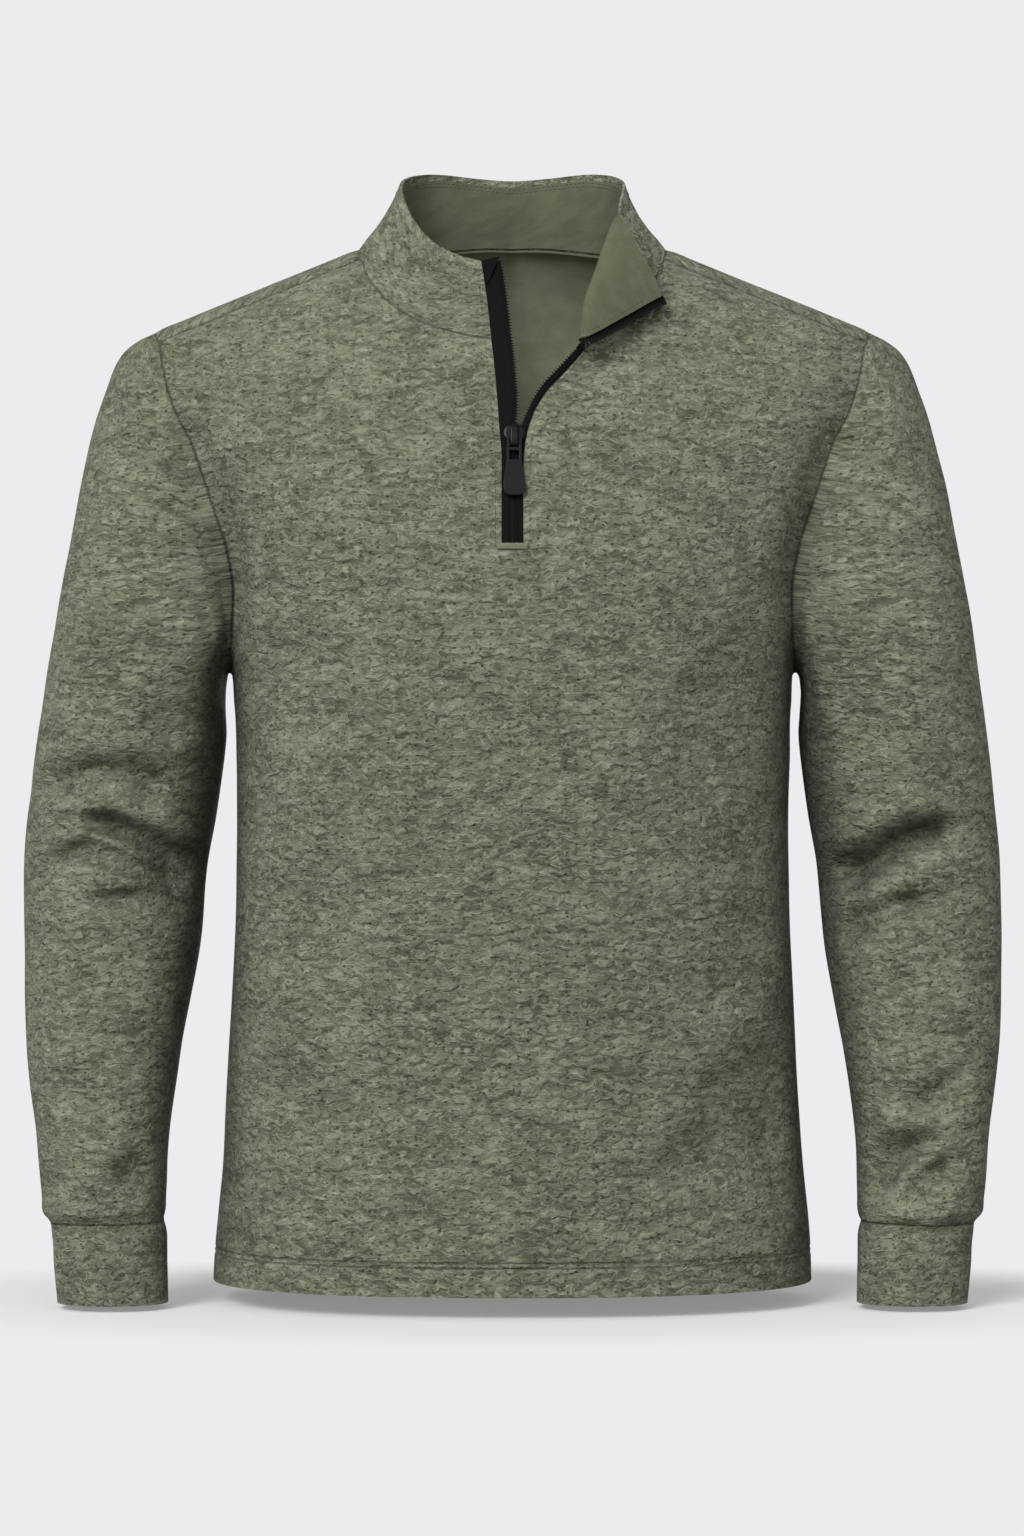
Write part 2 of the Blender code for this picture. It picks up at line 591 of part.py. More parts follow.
def sleeve_rings(loop):
    """Sleeve grid on the right side, starting on the armhole loop itself."""
    places = ring_places()
    first = loop_angles(loop, SLEEVE[0])
    turn = 2 * math.pi * np.sign(first[-1] - first[0])
    even = first[0] + turn * np.arange(len(loop)) / len(loop)
    rings = []
    for place in places:
        settle = min(place / 0.6, 1.0)
        angles = first + (even - first) * settle
        rings.append(oval_rings(SLEEVE, np.array([place]), angles)[0])
    rings = np.array(rings)
    away = loop - rings[0]
    keep = np.clip(1 - places / CAP_REACH, 0, 1)
    keep = keep**2 * (3 - 2 * keep)
    rings += away[None] * keep[:, None, None]
    return rings, even


# -------------------------------------------------------------------- collar
def bezier(a, b, c, d, part):
    """Point on a cubic curve between a and d."""
    rest = 1 - part
    return a * rest**3 + 3 * b * rest**2 * part + 3 * c * rest * part**2 + d * part**3


def standing_column(base, rim):
    """Collar column that stands up, hollow against the neck."""
    middle = (base + rim) / 2
    inward = unit(middle * np.array([-1.0, -1.0, 0.0]))
    middle = middle + inward * COLLAR_HOLLOW
    lower = (base + 2 * middle) / 3
    upper = (rim + 2 * middle) / 3
    parts = [share * CREST_SHARE for share in STAND_STEPS]
    parts += [CREST_SHARE + (1 - CREST_SHARE) * share for share in TURN_STEPS]
    return np.array([bezier(base, lower, upper, rim, part) for part in parts])


def rolled_column(base, crest, rim):
    """Collar column that stands up to a crest and turns over to its rim."""
    aside = unit(ROLL_SIDE) * ROLL_HANDLE
    rise = crest - base
    lay = rim - crest
    stand = [bezier(base, base + rise * 0.4, crest - aside, crest, p) for p in STAND_STEPS]
    turn = [bezier(crest, crest + aside, rim - lay * 0.45, rim, p) for p in TURN_STEPS]
    return np.array(stand + turn)


def half_shares(bases):
    """Share of the way along half the neck seam, for each base point."""
    run = length_along(bases)
    return run / run[-1]


def collar_half(bases, rolled):
    """Collar columns from the zip to the centre back, on the right side."""
    shares = half_shares(bases)
    rims = smooth(column(RIM, "share"), np.array(RIM)[:, 1:], shares)
    rolls = smooth(column(ROLL, "share"), np.array(ROLL)[:, 1:], shares)
    columns = []
    for share, base, rim, roll in zip(shares, bases, rims, rolls):
        stand = standing_column(base, rim)
        if rolled and share < ROLL_ENDS:
            turned = rolled_column(base, roll[:3], roll[3:])
            fade = np.clip((share - ROLL[-1].share) / (ROLL_ENDS - ROLL[-1].share), 0, 1)
            stand = turned + (stand - turned) * fade
        columns.append(stand)
    return np.array(columns)


def facing_points(columns):
    """The collar's own grid, its lower edge raised clear of the neck seam."""
    points = np.array(columns)
    rise = unit(points[:, 1] - points[:, 0])
    points[:, 0] += rise * FACING_STEP
    return points


# ---------------------------------------------------------------- the skin
class Skin:
    """Outer points shared by all panels, and the quads of each panel."""

    def __init__(self):
        self.points = []
        self.places = {}
        self.quads = {}

    def point(self, place):
        """Number of the point at a place, shared with any point already there."""
        cell = np.round(np.asarray(place) / MERGE_CELL).astype(int)
        for step in NEAR_CELLS:
            number = self.places.get(tuple(cell + step))
            if number is not None:
                return number
        self.places[tuple(cell)] = len(self.points)
        self.points.append(np.array(place, float))
        return len(self.points) - 1

    def grid(self, panel, points, flip=False, skip=()):
        """Adds a grid's quads to a panel and returns the points' numbers."""
        numbers = np.array([[self.point(p) for p in row] for row in points])
        quads = self.quads.setdefault(panel, [])
        for row in range(numbers.shape[0] - 1):
            for col in range(numbers.shape[1] - 1):
                if (row, col) in skip:
                    continue
                quad = [
                    numbers[row, col],
                    numbers[row, col + 1],
                    numbers[row + 1, col + 1],
                    numbers[row + 1, col],
                ]
                quad = [n for k, n in enumerate(quad) if n != quad[k - 1]]
                if len(quad) > 2:
                    quads.append(quad[::-1] if flip else quad)
        return numbers

    def face_normals(self, quads):
        places = np.array(self.points)
        found = []
        for quad in quads:
            a, b, c = places[quad[0]], places[quad[1]], places[quad[2]]
            d = places[quad[-1]]
            found.append(np.cross(c - a, d - b) if len(quad) == 4 else np.cross(b - a, c - a))
        return np.array(found)

    def normals(self):
        """Point normals, and how much a wall is stretched where faces turn."""
        total = np.zeros((len(self.points), 3))
        faces = []
        for quads in self.quads.values():
            for quad, normal in zip(quads, self.face_normals(quads)):
                faces.append((quad, unit(normal)))
                for n in quad:
                    total[n] += unit(normal)
        total = unit(total)
        lean = np.zeros(len(self.points))
        count = np.zeros(len(self.points))
        for quad, normal in faces:
            for n in quad:
                lean[n] += total[n] @ normal
                count[n] += 1
        return total, 1 / np.clip(lean / np.maximum(count, 1), 0.7, 1.0)


def fold_height(fold, places, normals):
    """How far one fold moves each point along its normal."""
    start = np.array([fold.x1, fold.z1])
    line = np.array([fold.x2, fold.z2]) - start
    away = places[:, ::2] - start
    along = np.clip(away @ line / (line @ line), 0, 1)
    gap = np.linalg.norm(away - along[:, None] * line, axis=1)
    faces = np.clip(normals[:, 1] * fold.side * 1.6, 0, 1)
    return fold.height * np.exp(-((gap / fold.width) ** 2)) * faces


def press_folds(skin_mesh):
    """Moves the points of each zone by its folds."""
    places = np.array(skin_mesh.points)
    normals, _ = skin_mesh.normals()
    zones = {"body": ("front", "back")}
    move = np.zeros(len(places))
    for fold in FOLDS:
        inside = np.zeros(len(places), bool)
        for panel in zones.get(fold.zone, (fold.zone,)):
            for quad in skin_mesh.quads[panel]:
                inside[quad] = True
        move += np.where(inside, fold_height(fold, places, normals), 0.0)
    skin_mesh.points = list(places + normals * move[:, None])


def boundary_edges(quads):
    """Directed edges that only one quad of a panel has."""
    edges = {}
    for quad in quads:
        for a, b in zip(quad, quad[1:] + quad[:1]):
            edges[(a, b)] = True
    return [(a, b) for a, b in edges if (b, a) not in edges]


def inward_steps(edges, places, normals):
    """For each edge point, the step into the panel that clears its edges by one."""
    steps = {}
    for a, b in edges:
        inward = unit(np.cross((normals[a] + normals[b]) / 2, places[b] - places[a]))
        for n in (a, b):
            steps.setdefault(n, []).append(inward)
    found = {}
    for n, sides in steps.items():
        mean = unit(sum(sides))
        found[n] = mean / max(0.5, float(mean @ sides[0]))
    return found


def halves(quad, places):
    """A quad as two triangles across its shorter diagonal."""
    if len(quad) == 3:
        return [list(quad)]
    a, b, c, d = quad
    straight = np.linalg.norm(places[a] - places[c])
    other = np.linalg.norm(places[b] - places[d])
    if straight <= other * DIAGONAL_TIE:
        return [[a, b, c], [a, c, d]]
    return [[a, b, d], [b, c, d]]


def closed_wall(skin_mesh, panel, outer, inner, pull):
    """Points and faces of one closed wall between two depths under the skin."""
    places = np.array(skin_mesh.points)
    normals, stretch = skin_mesh.normals()
    quads = skin_mesh.quads[panel]
    edges = boundary_edges(quads)
    steps = inward_steps(edges, places, normals)
    used = sorted({n for quad in quads for n in quad})
    new = {n: k for k, n in enumerate(used)}
    outside = []
    inside = []
    for n in used:
        shift = steps[n] * pull(n) if n in steps else 0.0
        down = normals[n] * stretch[n]
        outside.append(places[n] + shift - down * outer(n))
        inside.append(places[n] + shift - down * inner(n))
    count = len(used)
    triangles = [face for quad in quads for face in halves(quad, places)]
    faces = [[new[n] for n in face] for face in triangles]
    faces += [[new[n] + count for n in face[::-1]] for face in triangles]
    for a, b in edges:
        near, far = new[a], new[b]
        if a < b:
            faces += [[far, near, far + count], [near, near + count, far + count]]
        else:
            faces += [[far, near, near + count], [far, near + count, far + count]]
    return np.array(outside + inside), faces


# ------------------------------------------------------------------- objects
def plain_object(name, points, faces):
    """A named mesh object in the scene, with no material."""
    mesh = bpy.data.meshes.new(name)
    mesh.from_pydata([tuple(p) for p in points], [], [list(map(int, f)) for f in faces])
    mesh.validate()
    made = bpy.data.objects.new(name, mesh)
    bpy.context.collection.objects.link(made)
    return made


def make_object(name, points, faces, origin=(0.0, 0.0, 0.0)):
    """A named mesh object about its own origin, with its plain material."""
    made = plain_object(name, points - np.array(origin), faces)
    made.location = origin
    mesh = made.data
    finish, colour = NODE_LOOKS[name]
    material = bpy.data.materials.get(finish) or bpy.data.materials.new(finish)
    material.use_nodes = True
    shader = material.node_tree.nodes["Principled BSDF"]
    shader.inputs["Base Color"].default_value = (*colour, 1.0)
    shader.inputs["Roughness"].default_value = 0.9
    mesh.materials.append(material)
    return made


def prism(outline, low, high, frame):
    """Solid of an outline in a frame's first two axes, between two heights."""
    origin, across, up, out = frame
    count = len(outline)
    points = [origin + across * u + up * v + out * h for h in (low, high) for u, v in outline]
    faces = [list(range(count))[::-1], list(range(count, 2 * count))]
    for k in range(count):
        after = (k + 1) % count
        faces.append([k, after, count + after, count + k])
    return np.array(points), faces


def combine(first, others):
    """Joins or cuts scratch solids into the first, which is returned as data."""
    body = plain_object("scratch", *first)
    for operation, solid in others:
        tool = plain_object("scratch", *solid)
        modifier = body.modifiers.new("combine", "BOOLEAN")
        modifier.operation = operation
        modifier.solver = "EXACT"
        modifier.object = tool
        bpy.context.view_layer.objects.active = body
        bpy.ops.object.modifier_apply(modifier=modifier.name)
        bpy.data.objects.remove(tool)
    points = np.array([v.co[:] for v in body.data.vertices])
    faces = [list(p.vertices) for p in body.data.polygons]
    bpy.data.objects.remove(body)
    return points, faces


# ----------------------------------------------------------------------- zip
def slider_frame():
    """Origin on the skin under the pin, and axes across, up the zip and out."""
    low = on_body(0.0, PIN_Z - 0.008, 1)
    high = on_body(0.0, PIN_Z + 0.008, 1)
    up = unit(high - low)
    across = np.array([1.0, 0.0, 0.0])
    out = unit(np.cross(across, up))
    origin = (low + high) / 2
    origin[0] = SLIDER_X
    return origin, across, up, out


def in_mm(outline):
    return [(u * MM, v * MM) for u, v in outline]


def make_slider(frame):
    """Front plate, back plate, the post between them and the bridge."""
    origin, across, up, out = frame
    plate = prism(in_mm(PLATE_OUTLINE), PLATE_LOW, PLATE_HIGH, frame)
    back = prism(in_mm(PLATE_OUTLINE), *BACK_PLATE, frame)
    left, right, low, high = POST
    post_outline = [(left, low), (right, low), (right, high), (left, high)]
    post = prism(post_outline, BACK_PLATE[1] - 0.0005, PLATE_LOW + 0.0005, frame)
    sideways = (origin, up, out, across)
    bridge = prism(in_mm(BRIDGE_OUTLINE), -BRIDGE_HALF, BRIDGE_HALF, sideways)
    joined = [("UNION", post), ("UNION", back), ("UNION", bridge)]
    points, faces = combine(plate, joined)
    return make_object("zip_slider", points, faces)


def make_pull(frame):
    """Pull tab with its top bar through the bridge, origin on the hinge axis."""
    origin, across, up, out = frame
    pin = origin + out * PIN_HIGH
    lean_up = up * math.cos(TAB_LEAN) + out * math.sin(TAB_LEAN)
    lean_out = unit(np.cross(across, lean_up))
    local = (pin, across, lean_up, lean_out)
    body = prism(in_mm(TAB_OUTLINE), -TAB_HALF_THICK, TAB_HALF_THICK, local)
    cuts = []
    for low, high in TAB_WINDOWS:
        half = TAB_WINDOW_HALF
        outline = in_mm([(-half, low), (half, low), (half, high), (-half, high)])
        cuts.append(("DIFFERENCE", prism(outline, -0.003, 0.003, local)))
    points, faces = combine(body, cuts)
    return make_object("zip_pull", points, faces, origin=tuple(pin))


def tape_section(edge, outward, normal, width):
    """Eight points round a tape and its bead, from the cloth edge outward."""
    bead = width - BEAD_WIDE
    profile = (
        (SEAM_GAP, TAPE_SUNK),
        (bead, TAPE_SUNK),
        (bead, -BEAD_PROUD),
        (width, -BEAD_PROUD),
        (width, BEAD_DEEP),
        (bead, BEAD_DEEP),
        (bead, TAPE_DEEP),
        (SEAM_GAP, TAPE_DEEP),
    )
    return [edge + outward * across - normal * depth for across, depth in profile]


def make_tape(name, skin_mesh, slit_numbers, collar_numbers, side):
    """Sweeps the tape section up the slit and the collar's zip edge."""
    places = np.array(skin_mesh.points)
    normals, _ = skin_mesh.normals()
    edges = boundary_edges(skin_mesh.quads["front"])
    edges += boundary_edges(skin_mesh.quads["collar"])
    chain = list(slit_numbers) + list(collar_numbers[1:])
    on_chain = [(a, b) for a, b in edges if a in chain and b in chain]
    steps = inward_steps(on_chain, places, normals)
    widths = np.interp(places[list(slit_numbers)][:, 2], column(TAPE, "z"), column(TAPE, side))
    collar_width = COLLAR_TAPE_LEFT if side == "left" else COLLAR_TAPE_RIGHT
    widths = list(widths) + [collar_width] * (len(collar_numbers) - 1)
    sections = []
    for n, width in zip(chain, widths):
        sections.append(tape_section(places[n], -unit(steps[n]), normals[n], width))
    foot = np.array(sections[0]) + np.array([0.0, 0.0, SEAM_GAP])
    sections[0] = list(foot)
    points = np.array([p for section in sections for p in section])
    size = len(sections[0])
    faces = [list(range(size)), [len(points) - size + k for k in range(size)][::-1]]
    for row in range(len(sections) - 1):
        low = row * size
        high = low + size
        for k in range(size):
            after = (k + 1) % size
            faces.append([low + k, high + k, high + after, low + after])
    if side == "left":
        faces = [face[::-1] for face in faces]
    return make_object(name, points, faces)


def make_welt():
    """Small bar under the zip, lying on the front panel."""
    high = SLIT_FOOT_Z - SEAM_GAP
    low = high - WELT_TALL
    columns = np.linspace(-WELT_WIDE / 2, WELT_WIDE / 2, 5)
    outer = []
    for z in (low, high):
        row = on_body(np.abs(columns), np.full(5, z), 1)
        row[:, 0] = columns
        outer.append(row)
    outer = np.array(outer)
    normal = np.array([0.0, -1.0, 0.0])
    near = outer + normal * SEAM_GAP
    far = near + normal * WELT_PROUD
    points = np.concatenate([near.reshape(-1, 3), far.reshape(-1, 3)])
    faces = []
    for k in range(4):
        faces.append([k, 5 + k, 6 + k, 1 + k])
        faces.append([10 + k, 11 + k, 16 + k, 15 + k])
        faces.append([k, 1 + k, 11 + k, 10 + k])
        faces.append([5 + k, 15 + k, 16 + k, 6 + k])
    faces.append([0, 10, 15, 5])
    faces.append([4, 9, 19, 14])
    return make_object("zip_end_welt", points, faces)


# -------------------------------------------------------------------- garment
def build_skin():
    """The whole skin, with the numbers of the points that the zip follows."""
    cloth = Skin()
    closed = mirrored(front_half(opened=False))
    opened = front_half(opened=True)
    left = cloth.grid("front", closed, flip=True)
    right = cloth.grid("front", opened)
    foot_row = left.shape[0] - len(SLIT)
    middle = np.stack([closed[: foot_row + 1, 0], opened[: foot_row + 1, 0]], axis=1)
    cloth.grid("front", middle)

    back = back_half()
    strip = shoulder_strip()
    for sign, name in ((1, "right"), (-1, "left")):
        turn = mirrored if sign < 0 else np.array
        cloth.grid("back", turn(back), flip=sign > 0)
        cloth.grid("back", turn(strip), flip=sign > 0)
        armpit_row = 2 + SKIRT_ROWS
        front_loop = opened[armpit_row:, -1]
        back_loop = back[armpit_row:, -1]
        loop = np.concatenate([front_loop[::-1], back_loop[1:], strip[1:-1, -1]])
        rings, even = sleeve_rings(loop)
        rings = np.concatenate([rings, rings[:, :1]], axis=1)
        cloth.grid("sleeve_" + name, turn(rings), flip=sign < 0)
        cuff = oval_rings(CUFF, np.linspace(0, 1, 5), even)
        cuff[0] = rings[-1, :-1]
        cuff = np.concatenate([cuff, cuff[:, :1]], axis=1)
        cloth.grid("cuff_" + name, turn(cuff), flip=sign < 0)

    back_neck = back[-1, : BACK_NECK_COLUMNS + 1]
    sides = []
    for half, rolled in ((mirrored(closed), False), (opened, True)):
        neck = half[-1, : NECK_COLUMNS + 1]
        bases = np.concatenate([neck, strip[-2:0:-1, 0], back_neck[::-1]])
        sides.append(collar_half(bases, rolled))
    collar = np.concatenate([mirrored(sides[0]), sides[1][::-1][1:]])
    numbers = cloth.grid("collar", collar)
    slit = slice(foot_row, None)
    zip_lines = {
        "left": (left[slit, 0], numbers[0]),
        "right": (right[slit, 0], numbers[-1]),
        "collar": numbers,
    }
    return cloth, zip_lines


def build():
    for old in list(bpy.data.objects):
        bpy.data.objects.remove(old)

    cloth, zip_lines = build_skin()
    press_folds(cloth)
    places = np.array(cloth.points)

    def body_depth(n):
        return HEM_CLOTH if places[n][2] < HEM_Z + HEM_DEPTH + 0.0004 else BODY_CLOTH

    def at_skin(n):
        return 0.0

    def half_gap(n):
        return SEAM_GAP / 2

    depths = {"cuff_left": CUFF_CLOTH, "cuff_right": CUFF_CLOTH, "collar": COLLAR_CLOTH}
    for panel in cloth.quads:
        deep = depths.get(panel)
        inner = body_depth if deep is None else (lambda n, deep=deep: deep)
        make_object(panel, *closed_wall(cloth, panel, at_skin, inner, half_gap))

    def facing_face(n):
        return COLLAR_CLOTH + SEAM_GAP

    def facing_back(n):
        return facing_face(n) + FACING_CLOTH

    def whole_gap(n):
        return SEAM_GAP

    lining = Skin()
    lining.grid("collar_facing", facing_points(places[zip_lines["collar"]]))
    wall = closed_wall(lining, "collar_facing", facing_face, facing_back, whole_gap)
    make_object("collar_facing", *wall)

    make_tape("zip_tape_left", cloth, *zip_lines["left"], "left")
    make_tape("zip_tape_right", cloth, *zip_lines["right"], "right")
    make_welt()
    frame = slider_frame()
    make_slider(frame)
    make_pull(frame)


build()
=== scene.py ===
"""Quarter zip sweater in heathered knit, worn shape with no wearer, zip part open.

Metres, +Z up. The wearer faces -Y. Left and right are the viewer's. The cloth is
one skin of shared points, cut along its seams into panels with a real thickness.
"""

import logging
import math
from dataclasses import dataclass
from enum import Enum
from typing import NamedTuple, Sequence

import bmesh
import bpy
import numpy as np
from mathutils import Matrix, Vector, kdtree, noise
from mathutils.bvhtree import BVHTree
from numpy.typing import NDArray


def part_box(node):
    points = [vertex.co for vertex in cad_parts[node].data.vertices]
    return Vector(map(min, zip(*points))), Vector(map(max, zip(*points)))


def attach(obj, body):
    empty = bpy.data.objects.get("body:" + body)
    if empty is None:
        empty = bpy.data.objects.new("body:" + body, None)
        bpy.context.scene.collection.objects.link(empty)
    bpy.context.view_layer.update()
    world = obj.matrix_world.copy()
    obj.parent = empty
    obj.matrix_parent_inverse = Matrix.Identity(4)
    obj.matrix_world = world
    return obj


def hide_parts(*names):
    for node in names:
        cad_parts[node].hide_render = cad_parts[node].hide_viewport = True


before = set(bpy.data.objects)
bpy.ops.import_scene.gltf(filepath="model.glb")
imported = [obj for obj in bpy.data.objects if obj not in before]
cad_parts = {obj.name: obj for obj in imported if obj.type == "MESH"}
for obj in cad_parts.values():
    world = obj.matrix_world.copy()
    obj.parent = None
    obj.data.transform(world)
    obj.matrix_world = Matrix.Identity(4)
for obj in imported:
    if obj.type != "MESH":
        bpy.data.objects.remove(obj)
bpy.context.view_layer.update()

LOG = logging.getLogger("sweater")
Array = NDArray[np.float64]
Socket = bpy.types.NodeSocket
Piece = bpy.types.Object
Material = bpy.types.Material
Outputs = bpy.types.NodeOutputs
Colour = tuple[float, float, float]
Numbers = tuple[float, ...]
Lines = list[tuple[Array, Array]]
MM = 0.001


class Body(str, Enum):
    """The rigid bodies that pieces ride on."""

    GARMENT = "garment"
    PULL_TAB = "pull_tab"


class Side(Enum):
    """Which side of the zip, with the sign of its x."""

    LEFT = -1
    RIGHT = 1

    @property
    def word(self) -> str:
        """The side's name in piece and node names."""
        return "left" if self is Side.LEFT else "right"


# ---- form tables
def table(kind: type, *rows: Numbers) -> tuple:
    """Named rows of one kind."""
    return tuple(kind(*row) for row in rows)


class TorsoRow(NamedTuple):
    """Half width and depths of the full oval at one height."""

    z: float
    half_width: float
    front: float
    back: float


TORSO = table(TorsoRow,
    (-0.7, 0.1995, 0.1205, 0.1125), (-0.66, 0.198, 0.119, 0.111), (-0.608, 0.193, 0.1175, 0.1085),
    (-0.54, 0.189, 0.117, 0.1045), (-0.475, 0.186, 0.118, 0.1015), (-0.405, 0.1835, 0.1215, 0.103),
    (-0.34, 0.1838, 0.1245, 0.1075), (-0.31, 0.185, 0.125, 0.1095), (-0.283, 0.1885, 0.1247, 0.111),
    (-0.262, 0.1935, 0.124, 0.112), (-0.235, 0.2005, 0.122, 0.1135), (-0.209, 0.208, 0.1195, 0.114),
    (-0.17, 0.222, 0.1125, 0.114), (-0.137, 0.236, 0.1045, 0.1125), (-0.1, 0.25, 0.0915, 0.109),
    (-0.066, 0.262, 0.0755, 0.105), (-0.03, 0.275, 0.067, 0.1), (0.0, 0.285, 0.062, 0.096),
    (0.06, 0.3, 0.06, 0.085),
)


class ArmholeRow(NamedTuple):
    """Where the armhole seam runs in front and behind at one height."""

    z: float
    front_x: float
    back_x: float


ARMHOLE = table(ArmholeRow,
    (-0.283, 0.1885, 0.1885), (-0.27, 0.1862, 0.1868), (-0.25, 0.1845, 0.1865), (-0.209, 0.189, 0.193),
    (-0.17, 0.201, 0.204), (-0.137, 0.212, 0.215), (-0.1, 0.2265, 0.228), (-0.0571, 0.2355, 0.2375),
)


class ShoulderRow(NamedTuple):
    """One line across the shoulder; drop is negative behind the ridge."""

    drop: float
    neck_x: float
    arm_x: float


SHOULDER_STRIP = table(ShoulderRow,
    (-0.22, 0.093, 0.2372), (-0.05, 0.1008, 0.2385), (0.12, 0.103, 0.2382), (0.294, 0.1012, 0.2355),
)


class NeckPoint(NamedTuple):
    """A point of the neck seam seen from the front."""

    x: float
    z: float


FRONT_NECK_CLOSED = table(NeckPoint,
    (0.014, -0.0662), (0.0336, -0.063), (0.0493, -0.0582), (0.0651, -0.0517), (0.079, -0.0419),
    (0.09, -0.03), (0.0968, -0.02),
)
FRONT_NECK_OPENED = table(NeckPoint,
    (0.0477, -0.0746), (0.056, -0.0662), (0.0645, -0.0572), (0.073, -0.0482), (0.082, -0.0385),
    (0.0905, -0.029), (0.0968, -0.02),
)
BACK_NECK = table(NeckPoint,
    (0.0, 0.0074), (0.02, 0.0068), (0.04, 0.0046), (0.06, 0.0018), (0.078, 0.0001),
)


class SlitRow(NamedTuple):
    """The two edges of the front slit; lift is how far the opened one stands off."""

    z: float
    closed_x: float
    opened_z: float
    opened_x: float
    lift: float


SLIT = table(SlitRow,
    (-0.2015, 0.0071, -0.2015, 0.0071, 0.0), (-0.182, 0.0071, -0.182, 0.0071, 0.0),
    (-0.162, 0.0071, -0.162, 0.0071, 0.0), (-0.144, 0.0071, -0.145, 0.0075, 0.0),
    (-0.131, 0.0081, -0.131, 0.0094, 0.0), (-0.117, 0.0092, -0.116, 0.0143, 0.0008),
    (-0.104, 0.0102, -0.102, 0.0229, 0.003), (-0.091, 0.0113, -0.0926, 0.0318, 0.0058),
    (-0.078, 0.0126, -0.0832, 0.0403, 0.0082), (-0.0662, 0.014, -0.0746, 0.0477, 0.01),
)


class RimRow(NamedTuple):
    """Top edge of the standing collar, by share from the zip to the centre back."""

    share: float
    x: float
    y: float
    z: float


RIM = table(RimRow,
    (0.0, 0.0206, -0.062, -0.0143), (0.1, 0.0337, -0.058, -0.0106), (0.2, 0.0465, -0.0515, -0.0042),
    (0.3, 0.058, -0.0415, 0.006), (0.4, 0.0683, -0.027, 0.0215), (0.5, 0.0745, -0.007, 0.0385),
    (0.57, 0.0752, 0.007, 0.0455), (0.65, 0.0705, 0.025, 0.0515), (0.75, 0.0595, 0.042, 0.0555),
    (0.83, 0.046, 0.052, 0.0562), (0.91, 0.026, 0.06, 0.0549), (1.0, 0.0, 0.063, 0.0536),
    (1.09, -0.026, 0.06, 0.0549),
)


class RollRow(NamedTuple):
    """Crest and turned-out rim of the collar where its right front rolls over."""

    share: float
    crest_x: float
    crest_y: float
    crest_z: float
    rim_x: float
    rim_y: float
    rim_z: float


ROLL = table(RollRow,
    (0.0, 0.0464, -0.0925, -0.0685, 0.0976, -0.064, -0.0373),
    (0.1, 0.0492, -0.085, -0.045, 0.0931, -0.064, -0.0272),
    (0.2, 0.056, -0.074, -0.025, 0.0868, -0.061, -0.0143),
    (0.3, 0.0632, -0.058, -0.003, 0.0785, -0.0545, 0.0022),
    (0.38, 0.069, -0.0395, 0.0135, 0.0735, -0.04, 0.0165),
)


class SleeveRow(NamedTuple):
    """One oval of a sleeve, through its outer and its inner point."""

    outer_x: float
    outer_z: float
    inner_x: float
    inner_z: float
    depth: float
    mid_y: float


SLEEVE = table(SleeveRow,
    (0.2385, -0.0572, 0.1885, -0.283, 0.0575, 0.0), (0.257, -0.07, 0.1918, -0.2875, 0.061, 0.0),
    (0.272, -0.1, 0.193, -0.294, 0.064, 0.002), (0.286, -0.147, 0.193, -0.302, 0.067, 0.003),
    (0.297, -0.2, 0.1925, -0.312, 0.0685, 0.004), (0.309, -0.267, 0.1922, -0.326, 0.069, 0.006),
    (0.3175, -0.327, 0.1948, -0.349, 0.067, 0.008), (0.3249, -0.4012, 0.2042, -0.4092, 0.0635, 0.008),
    (0.325, -0.468, 0.209, -0.468, 0.058, 0.0), (0.3225, -0.5331, 0.221, -0.5331, 0.053, -0.014),
    (0.3148, -0.5915, 0.2277, -0.5915, 0.047, -0.03), (0.3108, -0.6275, 0.2279, -0.6255, 0.042, -0.04),
    (0.309, -0.6385, 0.228, -0.6375, 0.0375, -0.043), (0.3042, -0.6445, 0.2285, -0.6435, 0.0325, -0.045),
)
CUFF = SLEEVE[-1:] + table(SleeveRow,
    (0.3028, -0.65, 0.2276, -0.649, 0.031, -0.046), (0.3012, -0.672, 0.2268, -0.672, 0.03, -0.047),
    (0.2988, -0.6965, 0.2262, -0.6965, 0.0295, -0.048),
)


class TapeRow(NamedTuple):
    """How far each zip tape stands out of its edge at one height."""

    z: float
    left: float
    right: float


TAPE = table(TapeRow,
    (-0.2015, 0.0069, 0.0069), (-0.144, 0.0069, 0.0073), (-0.131, 0.0086, 0.005),
    (-0.117, 0.0118, 0.0043), (-0.104, 0.0129, 0.0048), (-0.0662, 0.013, 0.005),
)


class Zone(Enum):
    """Which panels a crease presses."""

    BODY = ("front", "back")
    SLEEVE_LEFT = ("sleeve_left",)
    SLEEVE_RIGHT = ("sleeve_right",)
    ARMHOLES = ("front", "back", "sleeve_left", "sleeve_right")


class Face(Enum):
    """Which way the creased cloth looks, with the sign of its normal's y."""

    FRONT = -1
    BACK = 1


@dataclass(frozen=True)
class Crease:
    """A soft trough, or a ridge where height is positive, seen from the front.

    Attributes:
        zone: The panels that it presses.
        face: The side of the garment that it lies on.
        path: Points (x, z) along its shaded upper side.
        width: Half width of the trough.
        height: Depth of the trough, negative, or height of the ridge.
        above: Share of the height that the cloth bulges back above the trough.
        below: The same below it.
    """

    zone: Zone
    face: Face
    path: Sequence[tuple[float, float]]
    width: float
    height: float
    above: float = 0.35
    below: float = 0.20


def creases(zone: Zone, face: Face, *rows: tuple[Numbers, ...]) -> tuple[Crease, ...]:
    """Creases of one zone and face, from rows of sizes and then the points of the path."""
    return tuple(Crease(zone, face, path, *sizes) for sizes, *path in rows)


